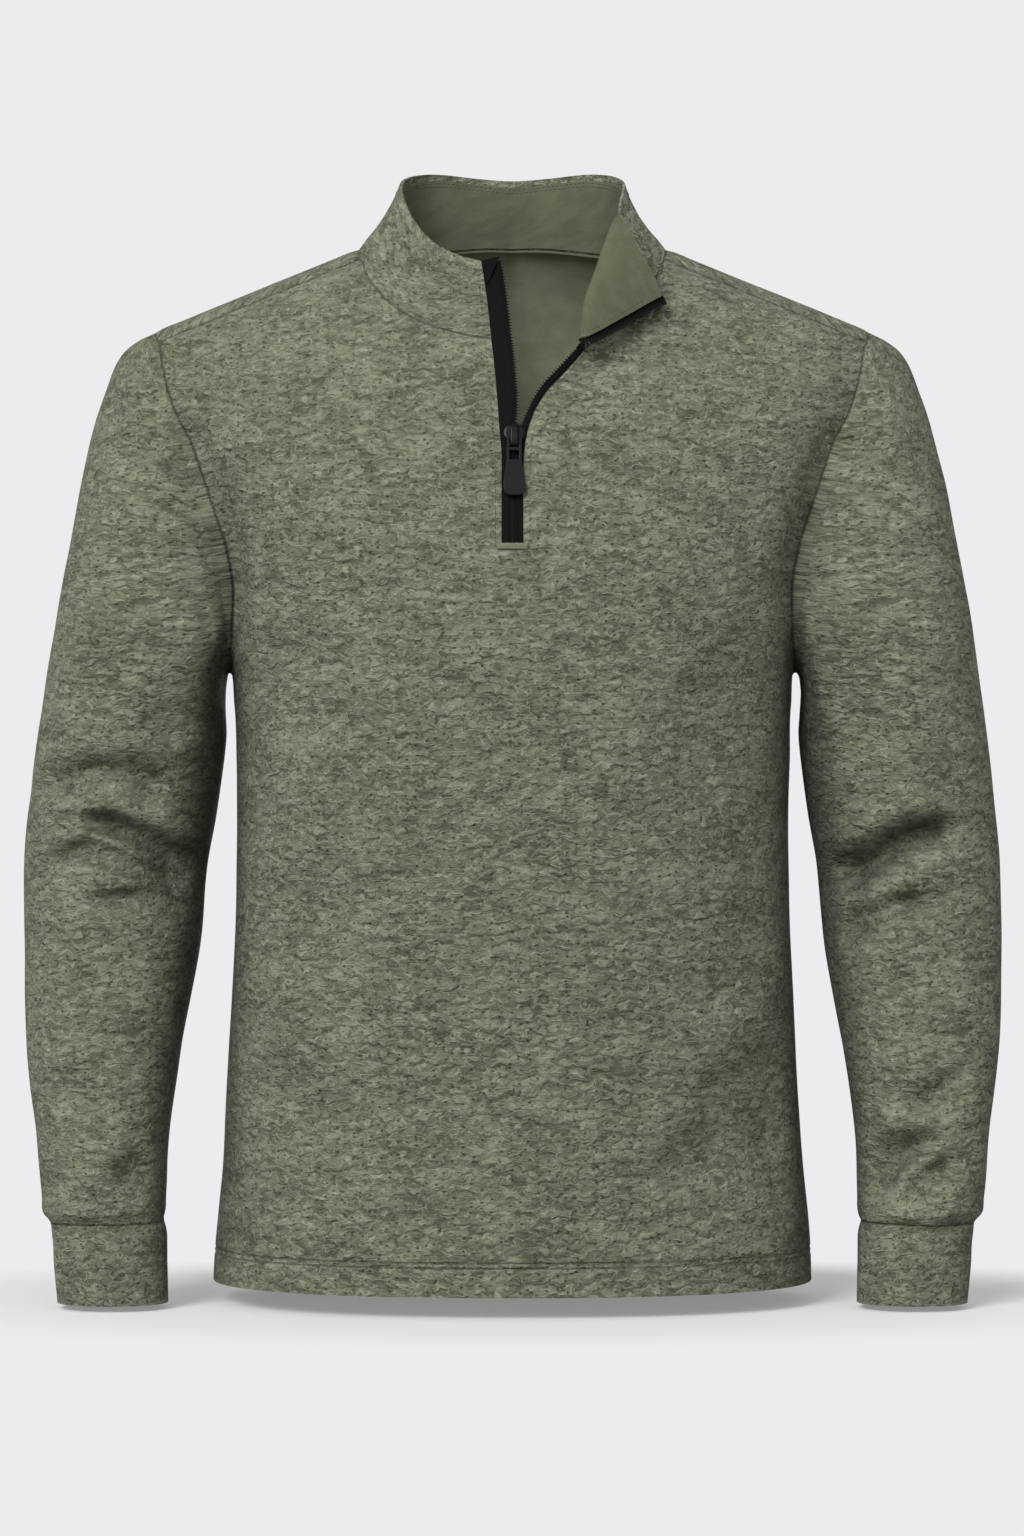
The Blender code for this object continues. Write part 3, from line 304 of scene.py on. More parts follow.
def armhole_creases() -> tuple[Crease, ...]:
    """The hollows along both armholes, in front and behind."""
    path = ((0.1850, -0.256), (0.1875, -0.222), (0.2010, -0.170), (0.2120, -0.137), (0.2225, -0.110))
    return tuple(
        Crease(Zone.ARMHOLES, face, tuple((side.value * x, z) for x, z in path), 0.0190, height, 0.10, 0.10)
        for side in Side
        for face, height in ((Face.FRONT, -0.0085), (Face.BACK, -0.0065))
    )


CREASES = (
    *creases(
        Zone.SLEEVE_LEFT, Face.FRONT,
        (
            (0.0078, -0.015, 0.15, 0.12), (-0.293, -0.376), (-0.2704, -0.3775), (-0.254, -0.3814),
            (-0.2377, -0.3899), (-0.2213, -0.399), (-0.195, -0.408),
        ),
        (
            (0.0066, -0.0105, 0.1, 0.15), (-0.313, -0.414), (-0.2967, -0.399), (-0.282, -0.3945),
            (-0.2639, -0.3998), (-0.2442, -0.408), (-0.198, -0.423),
        ),
        (
            (0.0066, -0.0085, 0.1, 0.2), (-0.283, -0.431), (-0.2508, -0.427), (-0.2311, -0.428),
            (-0.2, -0.438),
        ),
        (
            (0.01, -0.0105, 0.2, 0.1), (-0.32, -0.357), (-0.2967, -0.347), (-0.262, -0.344),
            (-0.22, -0.358),
        ),
        ((0.0125, -0.0075), (-0.316, -0.608), (-0.286, -0.608)),
        ((0.013, -0.005), (-0.296, -0.562), (-0.264, -0.542)),
        ((0.01, -0.007), (-0.264, -0.619), (-0.234, -0.594)),
        ((0.014, -0.005, 0.1, 0.1), (-0.242, -0.29), (-0.212, -0.33)),
    ),
    *creases(
        Zone.SLEEVE_RIGHT, Face.FRONT,
        (
            (0.0105, -0.0185, 0.15, 0.15), (0.304, -0.384), (0.285, -0.38), (0.264, -0.3835),
            (0.2465, -0.3925), (0.23, -0.403), (0.202, -0.416),
        ),
        (
            (0.0095, -0.013, 0.1, 0.15), (0.283, -0.43), (0.2547, -0.429), (0.2364, -0.436),
            (0.2072, -0.448),
        ),
        ((0.017, -0.006), (0.216, -0.33), (0.242, -0.296)),
        (
            (0.0105, -0.018, 0.15, 0.15), (0.285, -0.583), (0.2531, -0.589), (0.2415, -0.598),
            (0.222, -0.617),
        ),
        (
            (0.0088, -0.0145, 0.1, 0.15), (0.299, -0.595), (0.276, -0.603), (0.262, -0.613),
            (0.246, -0.624),
        ),
        ((0.01, -0.01, 0.15, 0.1), (0.299, -0.537), (0.27, -0.557), (0.245, -0.568)),
        ((0.011, -0.0065, 0.15, 0.15), (0.242, -0.57), (0.224, -0.585)),
    ),
    *creases(
        Zone.SLEEVE_LEFT, Face.BACK,
        ((0.0105, -0.015, 0.15, 0.15), (-0.282, -0.376), (-0.244, -0.388), (-0.206, -0.396)),
        ((0.0085, -0.009, 0.1, 0.15), (-0.274, -0.408), (-0.242, -0.415), (-0.212, -0.426)),
        ((0.0105, -0.0075), (-0.234, -0.6), (-0.285, -0.579)),
        ((0.009, -0.006), (-0.242, -0.62), (-0.294, -0.606)),
    ),
    *creases(
        Zone.SLEEVE_RIGHT, Face.BACK,
        ((0.0105, -0.0155, 0.15, 0.15), (0.28, -0.384), (0.242, -0.392), (0.207, -0.402)),
        ((0.0085, -0.009, 0.1, 0.15), (0.283, -0.417), (0.249, -0.422), (0.214, -0.433)),
        ((0.0105, -0.008), (0.24, -0.607), (0.296, -0.589)),
    ),
    *creases(
        Zone.BODY, Face.FRONT,
        ((0.02, -0.008), (0.11, -0.556), (0.1456, -0.5443), (0.187, -0.5319)),
        ((0.02, -0.0085), (0.088, -0.605), (0.1332, -0.586), (0.188, -0.5784)),
        ((0.021, -0.005), (-0.114, -0.394), (-0.127, -0.42), (-0.141, -0.445)),
        ((0.023, -0.0036), (-0.142, -0.242), (-0.128, -0.285), (-0.115, -0.332)),
        ((0.024, -0.0036), (0.156, -0.25), (0.133, -0.305), (0.125, -0.35)),
        ((0.021, -0.0045), (-0.175, -0.52), (-0.13, -0.548), (-0.09, -0.562)),
    ),
    *creases(
        Zone.BODY, Face.BACK,
        ((0.022, -0.008), (-0.168, -0.369), (-0.11, -0.403), (-0.048, -0.431)),
        ((0.022, -0.008), (0.168, -0.378), (0.11, -0.416), (0.058, -0.446)),
        ((0.021, -0.006), (-0.15, -0.519), (-0.069, -0.566)),
        ((0.022, -0.0045), (0.15, -0.21), (0.09, -0.25), (0.03, -0.265)),
    ),
    *armhole_creases(),
)


# ---- measures
@dataclass(frozen=True)
class Cloth:
    """Thicknesses of the cloth and sizes of its edges."""

    body: float = 0.0020
    hem: float = 0.0036
    cuff: float = 0.0030
    collar: float = 0.0018
    facing: float = 0.0012
    facing_gap: float = 0.00025
    facing_step: float = 0.0015
    facing_back: float = 0.0046
    hem_z: float = -0.686
    hem_depth: float = 0.0205
    armpit_x: float = 0.189
    armpit_z: float = -0.283
    armpit_reach: tuple[float, float, float] = (0.014, 0.040, 0.014)
    armpit_sag: float = 0.012
    seam_dip: float = 0.0008
    seam_reach: float = 0.0035


@dataclass(frozen=True)
class Fineness:
    """Into how many rows and columns the cloth is divided."""

    skirt_rows: int = 74
    chest_rows: int = 12
    slit_rows: int = 42
    neck_columns: int = 26
    shoulder_columns: int = 26
    back_neck_columns: int = 20
    strip_rows: int = 10
    sleeve_rings: int = 200
    cuff_rings: int = 16
    stand_steps: int = 15
    turn_steps: int = 12


CLOTH = Cloth()
FINE = Fineness()
HEM_ROWS = (0.0, 1.5, 4.0, 7.5, 11.0, 14.0, 16.4, 17.7, 18.6, 19.4, 20.4, 21.1, 21.9, 22.8, 24.2)
HEM_STITCHES = (0.0186, 0.0219)


# ---- numbers
TINY = 1e-12


def unit(vectors: Array) -> Array:
    """Vectors of length one, along the last axis."""
    size = np.linalg.norm(vectors, axis=-1, keepdims=True)
    return vectors / np.maximum(size, TINY)


def smooth(keys: Sequence[float] | Array, values: Array, at: Array | float) -> Array:
    """Reads a smooth curve through values at rising keys, held level past its ends.

    Args:
        keys: Rising places of the values.
        values: One number or one row of numbers for each key.
        at: Where to read the curve.

    Returns:
        The curve's values at those places.
    """
    keys = np.asarray(keys, float)
    values = np.asarray(values, float)
    at = np.clip(np.asarray(at, float), keys[0], keys[-1])
    slope = np.gradient(values, keys, axis=0)
    cell = np.clip(np.searchsorted(keys, at, side="right") - 1, 0, len(keys) - 2)
    width = keys[cell + 1] - keys[cell]
    part = (at - keys[cell]) / width
    if values.ndim > 1:
        width = width[..., None]
        part = part[..., None]
    rise = values[cell + 1] - values[cell]
    bend_in = width * slope[cell] - rise
    bend_out = rise - width * slope[cell + 1]
    blend = (1 - part) * bend_in + part * bend_out
    return values[cell] + part * rise + part * (1 - part) * blend


def column(rows: Sequence[NamedTuple], name: str) -> Array:
    """One named column of a table."""
    return np.array([getattr(row, name) for row in rows])


def resampled(values: Array, count: int) -> Array:
    """A table's column or rows, read at count + 1 even steps of its row number."""
    values = np.asarray(values, float)
    return smooth(np.arange(len(values)), values, np.linspace(0, len(values) - 1, count + 1))


def length_along(path: Array) -> Array:
    """Length along a path up to each of its points."""
    steps = np.linalg.norm(np.diff(path, axis=0), axis=1)
    return np.concatenate([[0.0], np.cumsum(steps)])


def evenly_along(path: Array | Sequence, count: int) -> Array:
    """Count points at equal steps along a path, both ends kept."""
    path = np.asarray(path, float)
    run = length_along(path)
    return smooth(run, path, np.linspace(0.0, run[-1], count))


def ease(part: Array | float) -> Array:
    """Goes from 0 to 1 with level ends."""
    part = np.clip(part, 0.0, 1.0)
    return part * part * (3 - 2 * part)


def raised(values: Array, power: float) -> Array:
    """Values raised to a power, with their signs kept."""
    return np.sign(values) * np.abs(values) ** power


def mirrored(points: Array) -> Array:
    """Points on the other side of the centre plane."""
    return points * np.array([-1.0, 1.0, 1.0])


def bezier(a: Array, b: Array, c: Array, d: Array, part: float) -> Array:
    """Point on a cubic curve from a to d."""
    rest = 1 - part
    return a * rest**3 + 3 * b * rest**2 * part + 3 * c * rest * part**2 + d * part**3


def coons(bottom: Array, top: Array, start: Array, end: Array) -> Array:
    """Fills a grid in between four boundary curves.

    Args:
        bottom: Pairs along the first row.
        top: Pairs along the last row.
        start: Pairs up the first column.
        end: Pairs up the last column.

    Returns:
        Grid [row, column, 2].
    """
    rows = np.linspace(0, 1, len(start))[:, None, None]
    cols = np.linspace(0, 1, len(bottom))[None, :, None]
    across = (1 - cols) * start[:, None] + cols * end[:, None]
    upward = (1 - rows) * bottom[None] + rows * top[None]
    corners = (1 - rows) * ((1 - cols) * bottom[0] + cols * bottom[-1])
    corners = corners + rows * ((1 - cols) * top[0] + cols * top[-1])
    return across + upward - corners


def grain_of(points: Array, turned: bool = False) -> Array:
    """Measures the cloth's grain, in metres across and along, over a grid.

    Args:
        points: Grid [row, column, 3].
        turned: Whether the rows, and not the columns, run across.

    Returns:
        Grid [row, column, 2].
    """
    by_column = np.linalg.norm(np.diff(points, axis=1), axis=2).cumsum(axis=1)
    by_column = np.concatenate([np.zeros((len(points), 1)), by_column], axis=1)
    by_row = np.linalg.norm(np.diff(points, axis=0), axis=2).cumsum(axis=0)
    by_row = np.concatenate([np.zeros((1, points.shape[1])), by_row], axis=0)
    return np.stack([by_row, by_column] if turned else [by_column, by_row], axis=-1)


def read_along(run: Array, rows: Array, at: Array | float) -> Array:
    """Rows of numbers, read at lengths along their path."""
    return np.stack([np.interp(at, run, rows[:, k]) for k in range(rows.shape[1])], axis=-1)


def tube_faces(rings: int, count: int, base: int = 0) -> list[list[int]]:
    """Faces of a closed tube through rings of points.

    Args:
        rings: How many rings it has.
        count: Points in each ring.
        base: Number of its first point.

    Returns:
        The walls, then the first and the last end.
    """
    faces = []
    last = base + (rings - 1) * count
    for low in range(base, last, count):
        for k in range(count):
            after = (k + 1) % count
            faces.append([low + k, low + after, low + count + after, low + count + k])
    return faces + [list(range(base, base + count))[::-1], list(range(last, last + count))]


# ---- body form
@dataclass(frozen=True)
class BodyForm:
    """The torso's surface: ovals in the round that close over a shoulder ridge."""

    power: float = 2.3
    ridge_at_centre: float = 0.0423
    ridge_slope: float = 0.408
    shoulder_round: float = 0.110

    def ridge(self, x: Array | float) -> Array:
        """Height of the shoulder ridge at a distance from the centre."""
        return self.ridge_at_centre - self.ridge_slope * np.abs(x)

    def half_width(self, z: Array | float) -> Array:
        """Half width of the oval at a height."""
        return smooth(column(TORSO, "z"), column(TORSO, "half_width"), z)

    def share(self, x: Array | float, z: Array | float) -> Array:
        """Angle share 0..1 round the oval at height z, for a distance x."""
        ratio = np.clip(np.abs(x) / self.half_width(z), 0.0, 1.0)
        return np.arcsin(ratio ** (self.power / 2)) * 2 / math.pi

    def drop(self, x: Array | float, z: Array | float, side: int) -> Array:
        """Drop coordinate of a height, positive in front of the ridge."""
        fall = np.maximum(self.ridge(x) - z, 0.0)
        return side * np.sqrt(fall / self.shoulder_round)

    def pairs(self, x: Array | float, z: Array | float, side: int) -> Array:
        """Angle share and drop of places seen from the front."""
        return np.stack(np.broadcast_arrays(self.share(x, z), self.drop(x, z, side)), axis=-1)

    def skin(self, share: Array, drop: Array) -> Array:
        """Surface points for angle shares and drops."""
        share, drop = np.broadcast_arrays(np.asarray(share, float), np.asarray(drop, float))
        across = np.sin(share * math.pi / 2) ** (2 / self.power)
        deep = np.cos(np.minimum(share, 1.0) * math.pi / 2) ** (2 / self.power)
        x = 0.2 * across
        for _ in range(12):
            z = self.ridge(x) - self.shoulder_round * drop**2
            x = self.half_width(z) * across
        near = np.minimum(np.abs(drop), 1.0)
        rounding = near * np.sqrt(2 - near**2)
        heights = column(TORSO, "z")
        front = smooth(heights, column(TORSO, "front"), z)
        back = smooth(heights, column(TORSO, "back"), z)
        y = np.where(drop > 0, -front, back) * deep * rounding
        return np.stack([x, y, z], axis=-1)

    def at(self, x: Array | float, z: Array | float, side: int = 1) -> Array:
        """Surface point at a place seen from the front, side 1 in front."""
        return self.skin(self.share(x, z), self.drop(x, z, side))


FORM = BodyForm()


class BodyGrain:
    """Distances over the torso's cloth, across from its centre and up from its hem."""

    heights = np.linspace(CLOTH.hem_z, 0.040, 74)
    shares = np.linspace(0.0, 1.0, 61)

    def __init__(self, side: int) -> None:
        """Measures the front, side 1, or the back, side -1."""
        z, share = np.meshgrid(self.heights, self.shares, indexing="ij")
        x = FORM.half_width(z) * np.sin(share * math.pi / 2) ** (2 / FORM.power)
        self.table = grain_of(FORM.at(x, z, side))

    def at(self, points: Array) -> Array:
        """Distances at points of the surface, or right in front of it."""
        share = FORM.share(points[..., 0], points[..., 2]) * (len(self.shares) - 1)
        step = self.heights[1] - self.heights[0]
        row = np.clip((points[..., 2] - self.heights[0]) / step, 0, len(self.heights) - 1.001)
        low = np.floor(row).astype(int)
        left = np.minimum(np.floor(share), len(self.shares) - 2).astype(int)
        up, over = (row - low)[..., None], (share - left)[..., None]
        near = self.table[low, left] * (1 - over) + self.table[low, left + 1] * over
        far = self.table[low + 1, left] * (1 - over) + self.table[low + 1, left + 1] * over
        return near * (1 - up) + far * up


# ---- the skin
class Skin:
    """Outer points shared by all panels, with the quads and grain of each panel."""

    cell = 0.00002
    folded = 0.62
    least_lean = 0.7
    least_fold = 0.1
    relax_rim = 0.05
    relax_pace = 0.5
    seam_steps = 5
    near = tuple((a, b, c) for a in (0, -1, 1) for b in (0, -1, 1) for c in (0, -1, 1))

    def __init__(self) -> None:
        """Starts with no points."""
        self.points: list[Array] = []
        self.places: dict[tuple, int] = {}
        self.quads: dict[str, Array] = {}
        self.grain: dict[str, Array] = {}

    def point(self, place: Array) -> int:
        """Number of the point at a place, shared with any point already there."""
        cell = np.round(place / self.cell).astype(int)
        for step in self.near:
            number = self.places.get(tuple(cell + step))
            if number is not None:
                return number
        self.places[tuple(cell)] = len(self.points)
        self.points.append(np.array(place, float))
        return len(self.points) - 1

    def grid(self, panel: str, points: Array, grain: Array, flip: bool = False) -> NDArray:
        """Adds a grid's quads to a panel.

        Args:
            panel: The panel's name.
            points: Grid [row, column, 3].
            grain: Grid [row, column, 2] of distances across and along the cloth.
            flip: Turns the quads over.

        Returns:
            The points' numbers, [row, column].
        """
        numbers = np.array([[self.point(p) for p in row] for row in points])
        first, last = slice(None, -1), slice(1, None)
        corners = [(first, first), (first, last), (last, last), (last, first)]
        if flip:
            corners = corners[::-1]
        quads = np.stack([numbers[c].ravel() for c in corners], axis=1)
        faces = np.stack([grain[c].reshape(-1, 2) for c in corners], axis=1)
        for kept, added in ((self.quads, quads), (self.grain, faces)):
            kept[panel] = np.concatenate([kept[panel], added]) if panel in kept else added
        return numbers

    def normals(self) -> tuple[Array, Array]:
        """Point normals, and how much a wall is stretched where faces turn."""
        places = np.array(self.points)
        quads = np.concatenate(list(self.quads.values()))
        a, b, c, d = (places[quads[:, k]] for k in range(4))
        faces = unit(np.cross(c - a, d - b))
        total = np.zeros_like(places)
        for k in range(4):
            np.add.at(total, quads[:, k], faces)
        total = unit(total)
        lean = np.zeros(len(places))
        count = np.zeros(len(places))
        for k in range(4):
            np.add.at(lean, quads[:, k], (total[quads[:, k]] * faces).sum(axis=1))
            np.add.at(count, quads[:, k], 1)
        lean /= np.maximum(count, 1)
        turned = 1 / np.clip(lean, self.least_lean, 1.0)
        return total, np.where(lean > self.folded, turned, np.clip(lean, self.least_fold, 1.0))

    def edges(self, panel: str) -> list[tuple[int, int, int, int]]:
        """Boundary edges of a panel: two points, the face and the corner."""
        found: dict[tuple[int, int], tuple[int, int]] = {}
        for face, quad in enumerate(self.quads[panel].tolist()):
            for corner in range(4):
                found[(quad[corner], quad[(corner + 1) % 4])] = (face, corner)
        return [(a, b, *found[(a, b)]) for a, b in found if (b, a) not in found]

    def seam_distance(self, panels: Sequence[str]) -> Array:
        """Distance of every point to the nearest seam between two panels."""
        owners: dict[frozenset, int] = {}
        for panel in panels:
            for a, b, _, _ in self.edges(panel):
                key = frozenset((a, b))
                owners[key] = owners.get(key, 0) + 1
        lines = [tuple(key) for key, count in owners.items() if count > 1]
        tree = kdtree.KDTree(len(lines) * self.seam_steps)
        for number, (a, b) in enumerate(lines):
            for step in range(self.seam_steps):
                place = self.points[a] + (self.points[b] - self.points[a]) * step / (self.seam_steps - 1)
                tree.insert(place, number * self.seam_steps + step)
        tree.balance()
        return np.array([tree.find(p)[2] for p in self.points])

    def relax(self, centre: Sequence[float], reach: Sequence[float], rounds: int) -> None:
        """Evens out the points near a place, where the cloth would fold through itself.

        Args:
            centre: The middle of the place.
            reach: How far it goes along x, y and z.
            rounds: How often each point moves towards its neighbours.
        """
        places = np.array(self.points)
        near = np.exp(-(((places - centre) / np.array(reach)) ** 2).sum(axis=1))
        weight = np.clip((1 + self.relax_rim) * near - self.relax_rim, 0, None)
        quads = np.concatenate(list(self.quads.values()))
        quads = quads[(weight[quads] > 0).any(axis=1)]
        first, second = quads.ravel(), np.roll(quads, -1, axis=1).ravel()
        count = np.bincount(np.concatenate([first, second]), minlength=len(places))
        for _ in range(rounds):
            total = np.zeros_like(places)
            np.add.at(total, first, places[second])
            np.add.at(total, second, places[first])
            middle = total / np.maximum(count, 1)[:, None]
            places = places + self.relax_pace * weight[:, None] * (middle - places)
        self.points = list(places)

    def inside(self, zone: Zone) -> NDArray:
        """Which points belong to the panels of a zone."""
        mask = np.zeros(len(self.points), bool)
        for panel in zone.value:
            mask[self.quads[panel].ravel()] = True
        return mask

    def move(self, shift: Array) -> None:
        """Moves every point by a shift."""
        self.points = list(np.array(self.points) + shift)


class Pressing:
    """Presses creases, seams and a slight unevenness into the skin.

    Attributes:
        fall: How far a trough lies under its path, as a share of its width.
        fade_in: Least length over which a crease begins, and start_share its share of a long one.
        fade_out: The same for its end, with end_share.
        spread: Width at the start, and how much it grows up to the end.
        upper: Fall of the upper side, and place and fall of the bulge above it; lower is the same below.
        turn: How soon a crease fades where the cloth turns away.
        least: Share of its depth that a crease has at its very ends.
        wide: Reach across and along and height of the wide waves; fine is the same for the fine ones.
        shifts: Where both waves begin.
        swell: Place of the swell beside a seam in seam reaches, and its share of the dip.
        pucker: Pulls in a metre along a seam, and how uneven they make the dip.
    """

    fall: float = 0.55
    fade_in: float = 0.024
    fade_out: float = 0.018
    start_share: float = 0.24
    end_share: float = 0.12
    spread = (0.75, 0.55)
    upper = (0.85, 1.8, 0.85)
    lower = (1.30, 2.6, 1.1)
    turn: float = 1.6
    least: float = 0.12
    wide = (11, 7, 0.0022)
    fine = (34, 26, 0.0006)
    shifts = (3.1, 7.7)
    swell = (2.6, 0.25)
    pucker = (90, 0.5)
    path_points = 14

    def __init__(self, skin: Skin) -> None:
        """Keeps the skin that it works on."""
        self.skin = skin

    def press(self, crease: Crease, places: Array, normals: Array) -> Array:
        """How far one crease moves each point along its normal."""
        bent = len(crease.path) > 2
        path = evenly_along(crease.path, self.path_points) if bent else np.array(crease.path)
        slant = unit(path[-1] - path[0])
        path = path - np.array([0.0, self.fall * crease.width * abs(slant[0])])
        run = length_along(path)
        away = places[:, ::2]
        gap = np.full(len(places), np.inf)
        along = np.zeros(len(places))
        high = np.zeros(len(places))
        for k in range(len(path) - 1):
            line = path[k + 1] - path[k]
            up = np.array([-line[1], line[0]]) * (1.0 if line[0] >= 0 else -1.0)
            rest = away - path[k]
            part = np.clip(rest @ line / (line @ line), 0, 1)
            off = rest - part[:, None] * line
            far = np.linalg.norm(off, axis=1)
            nearer = far < gap
            gap = np.where(nearer, far, gap)
            along = np.where(nearer, (run[k] + part * np.sqrt(line @ line)) / run[-1], along)
            side = off @ unit(up) / np.maximum(far, TINY)
            high = np.where(nearer, 0.5 + 0.5 * side, high)
        size = run[-1]
        start = ease(along * size / max(self.start_share * size, self.fade_in))
        taper = start * ease((1 - along) * size / max(self.end_share * size, self.fade_out))
        ratio = gap / (crease.width * (self.spread[0] + self.spread[1] * along))
        over = self.section(ratio, crease.above, *self.upper)
        under = self.section(ratio, crease.below, *self.lower)
        profile = high * over + (1 - high) * under
        faces = np.clip(normals[:, 1] * crease.face.value * self.turn, 0, 1)
        return crease.height * profile * (self.least + (1 - self.least) * taper) * faces

    def section(self, ratio: Array, bulge: float, fall: float, place: float, spread: float) -> Array:
        """Height over one side of a trough, with the bulge beside it."""
        return np.exp(-((ratio / fall) ** 2)) - bulge * np.exp(-(((ratio - place) / spread) ** 2))

    def creases(self) -> None:
        """Presses every crease of the table."""
        places = np.array(self.skin.points)
        normals, _ = self.skin.normals()
        rise = np.zeros(len(places))
        for crease in CREASES:
            inside = self.skin.inside(crease.zone)
            rise += np.where(inside, self.press(crease, places, normals), 0.0)
        self.skin.move(normals * rise[:, None])

    def unevenness(self, calm: Array) -> None:
        """Gives the cloth slight waves, calm near the edges that calm names."""
        places = np.array(self.skin.points)
        normals, _ = self.skin.normals()
        rise = np.empty(len(places))
        (wide_x, wide_z, high), (fine_x, fine_z, low) = self.wide, self.fine
        up, aside = self.shifts
        for number, (x, y, z) in enumerate(places):
            wide = noise.noise(Vector((x * wide_x, y * wide_x, z * wide_z + up)))
            fine = noise.noise(Vector((x * fine_x + aside, y * fine_x, z * fine_z)))
            rise[number] = wide * high + fine * low
        self.skin.move(normals * (rise * calm)[:, None])

    def seams(self, distance: Array) -> None:
        """Sinks the cloth towards its seams."""
        normals, _ = self.skin.normals()
        (beside, bulge), (scale, uneven) = self.swell, self.pucker
        near = np.exp(-((distance / CLOTH.seam_reach) ** 2))
        swell = np.exp(-(((distance - beside * CLOTH.seam_reach) / CLOTH.seam_reach) ** 2))
        places = np.array(self.skin.points)
        pull = np.array([noise.noise(Vector(p * scale)) for p in places])
        depth = CLOTH.seam_dip * (near * (1 + uneven * pull) - bulge * swell)
        self.skin.move(-normals * depth[:, None])


class Shadow:
    """Finds how hemmed in each place is by the cloth around it, for the shade painted into the cloth's
    colour.
    """

    reach: float = 0.17
    start: float = 0.0015
    rays: int = 26
    steep: float = 0.9

    def __init__(self, skin: Skin) -> None:
        """Keeps the skin as a tree of faces, and rays spread over a half ball."""
        quads = np.concatenate([skin.quads[panel] for panel in skin.quads])
        self.tree = BVHTree.FromPolygons([p.tolist() for p in skin.points], quads.tolist())
        number = np.arange(self.rays) + 0.5
        height = np.sqrt(number / self.rays)
        turn = number * math.pi * (3 - math.sqrt(5))
        flat = np.sqrt(1 - height**2)
        self.spread = np.stack([flat * np.cos(turn), flat * np.sin(turn), height], axis=-1)

    def at(self, places: Array, normals: Array) -> Array:
        """Share of the rays from each place that meet cloth, the nearest counting most."""
        places = places + normals * self.start
        side = np.where(np.abs(normals[:, 2:]) < self.steep, [[0.0, 0.0, 1.0]], [[1.0, 0.0, 0.0]])
        across = unit(np.cross(side, normals))
        along = np.cross(normals, across)
        found = np.zeros(len(places))
        for ray in self.spread:
            ways = across * ray[0] + along * ray[1] + normals * ray[2]
            for k, (place, way) in enumerate(zip(places.tolist(), ways.tolist())):
                far = self.tree.ray_cast(place, way, self.reach)[3]
                if far is not None:
                    found[k] += 1 - far / self.reach
        return found / self.rays


@dataclass
class Wall:
    """A closed cloth wall, its outer side first, then its inner side and rim."""

    points: Array
    faces: NDArray
    grain: Array
    slots: NDArray
    seam: Array
    shade: Array
    area: float


def wall_of(skin: Skin, panel: str, outer: Array, inner: Array, seam: Array) -> Wall:
    """Closes a panel between two depths under the skin.

    Args:
        skin: The skin that holds the panel.
        panel: The panel's name.
        outer: Depth of the outer side at every point of the skin.
        inner: Depth of the inner side at every point.
        seam: Distance to the nearest seam at every point.

    Returns:
        The wall, whose slots are 0 outside, 1 inside and 0 on the rim.
    """
    places = np.array(skin.points)
    normals, stretch = skin.normals()
    quads = skin.quads[panel]
    grain = skin.grain[panel]
    used, compact = np.unique(quads, return_inverse=True)
    compact = compact.reshape(quads.shape)
    down = normals[used] * stretch[used, None]
    outside = places[used] - down * outer[used, None]
    inside = places[used] - down * inner[used, None]
    count = len(used)
    new = {n: k for k, n in enumerate(used.tolist())}
    rim = []
    rim_grain = []
    for a, b, face, corner in skin.edges(panel):
        near, far = new[a], new[b]
        rim.append([far, near, near + count, far + count])
        at_near, at_far = grain[face][corner], grain[face][(corner + 1) % 4]
        rim_grain.append([at_far, at_near, at_near, at_far])
    faces = np.concatenate([compact, compact[:, ::-1] + count, np.array(rim)])
    corners = np.concatenate([grain, grain[:, ::-1], np.array(rim_grain)])
    slots = np.concatenate([np.zeros(len(quads)), np.ones(len(quads)), np.zeros(len(rim))])
    a, b, c, d = (outside[compact[:, k]] for k in range(4))
    area = float(np.linalg.norm(np.cross(c - a, d - b), axis=1).sum() / 2)
    points = np.concatenate([outside, inside])
    distances = np.concatenate([seam[used], seam[used]])
    return Wall(points, faces, corners, slots.astype(int), distances, np.zeros(len(points)), area)


def wall_over(grid: Array, near: float, thick: float, turned: bool = False) -> tuple[Skin, Wall]:
    """The closed wall under a grid that stands alone.

    Args:
        grid: Points [row, column, 3].
        near: Depth of its outer side under them.
        thick: Its thickness.
        turned: Whether the rows run across the cloth.

    Returns:
        The grid's own skin, and its wall.
    """
    skin = Skin()
    skin.grid("", grid, grain_of(grid, turned))
    outer = np.full(len(skin.points), near)
    return skin, wall_of(skin, "", outer, outer + thick, np.ones(len(outer)))


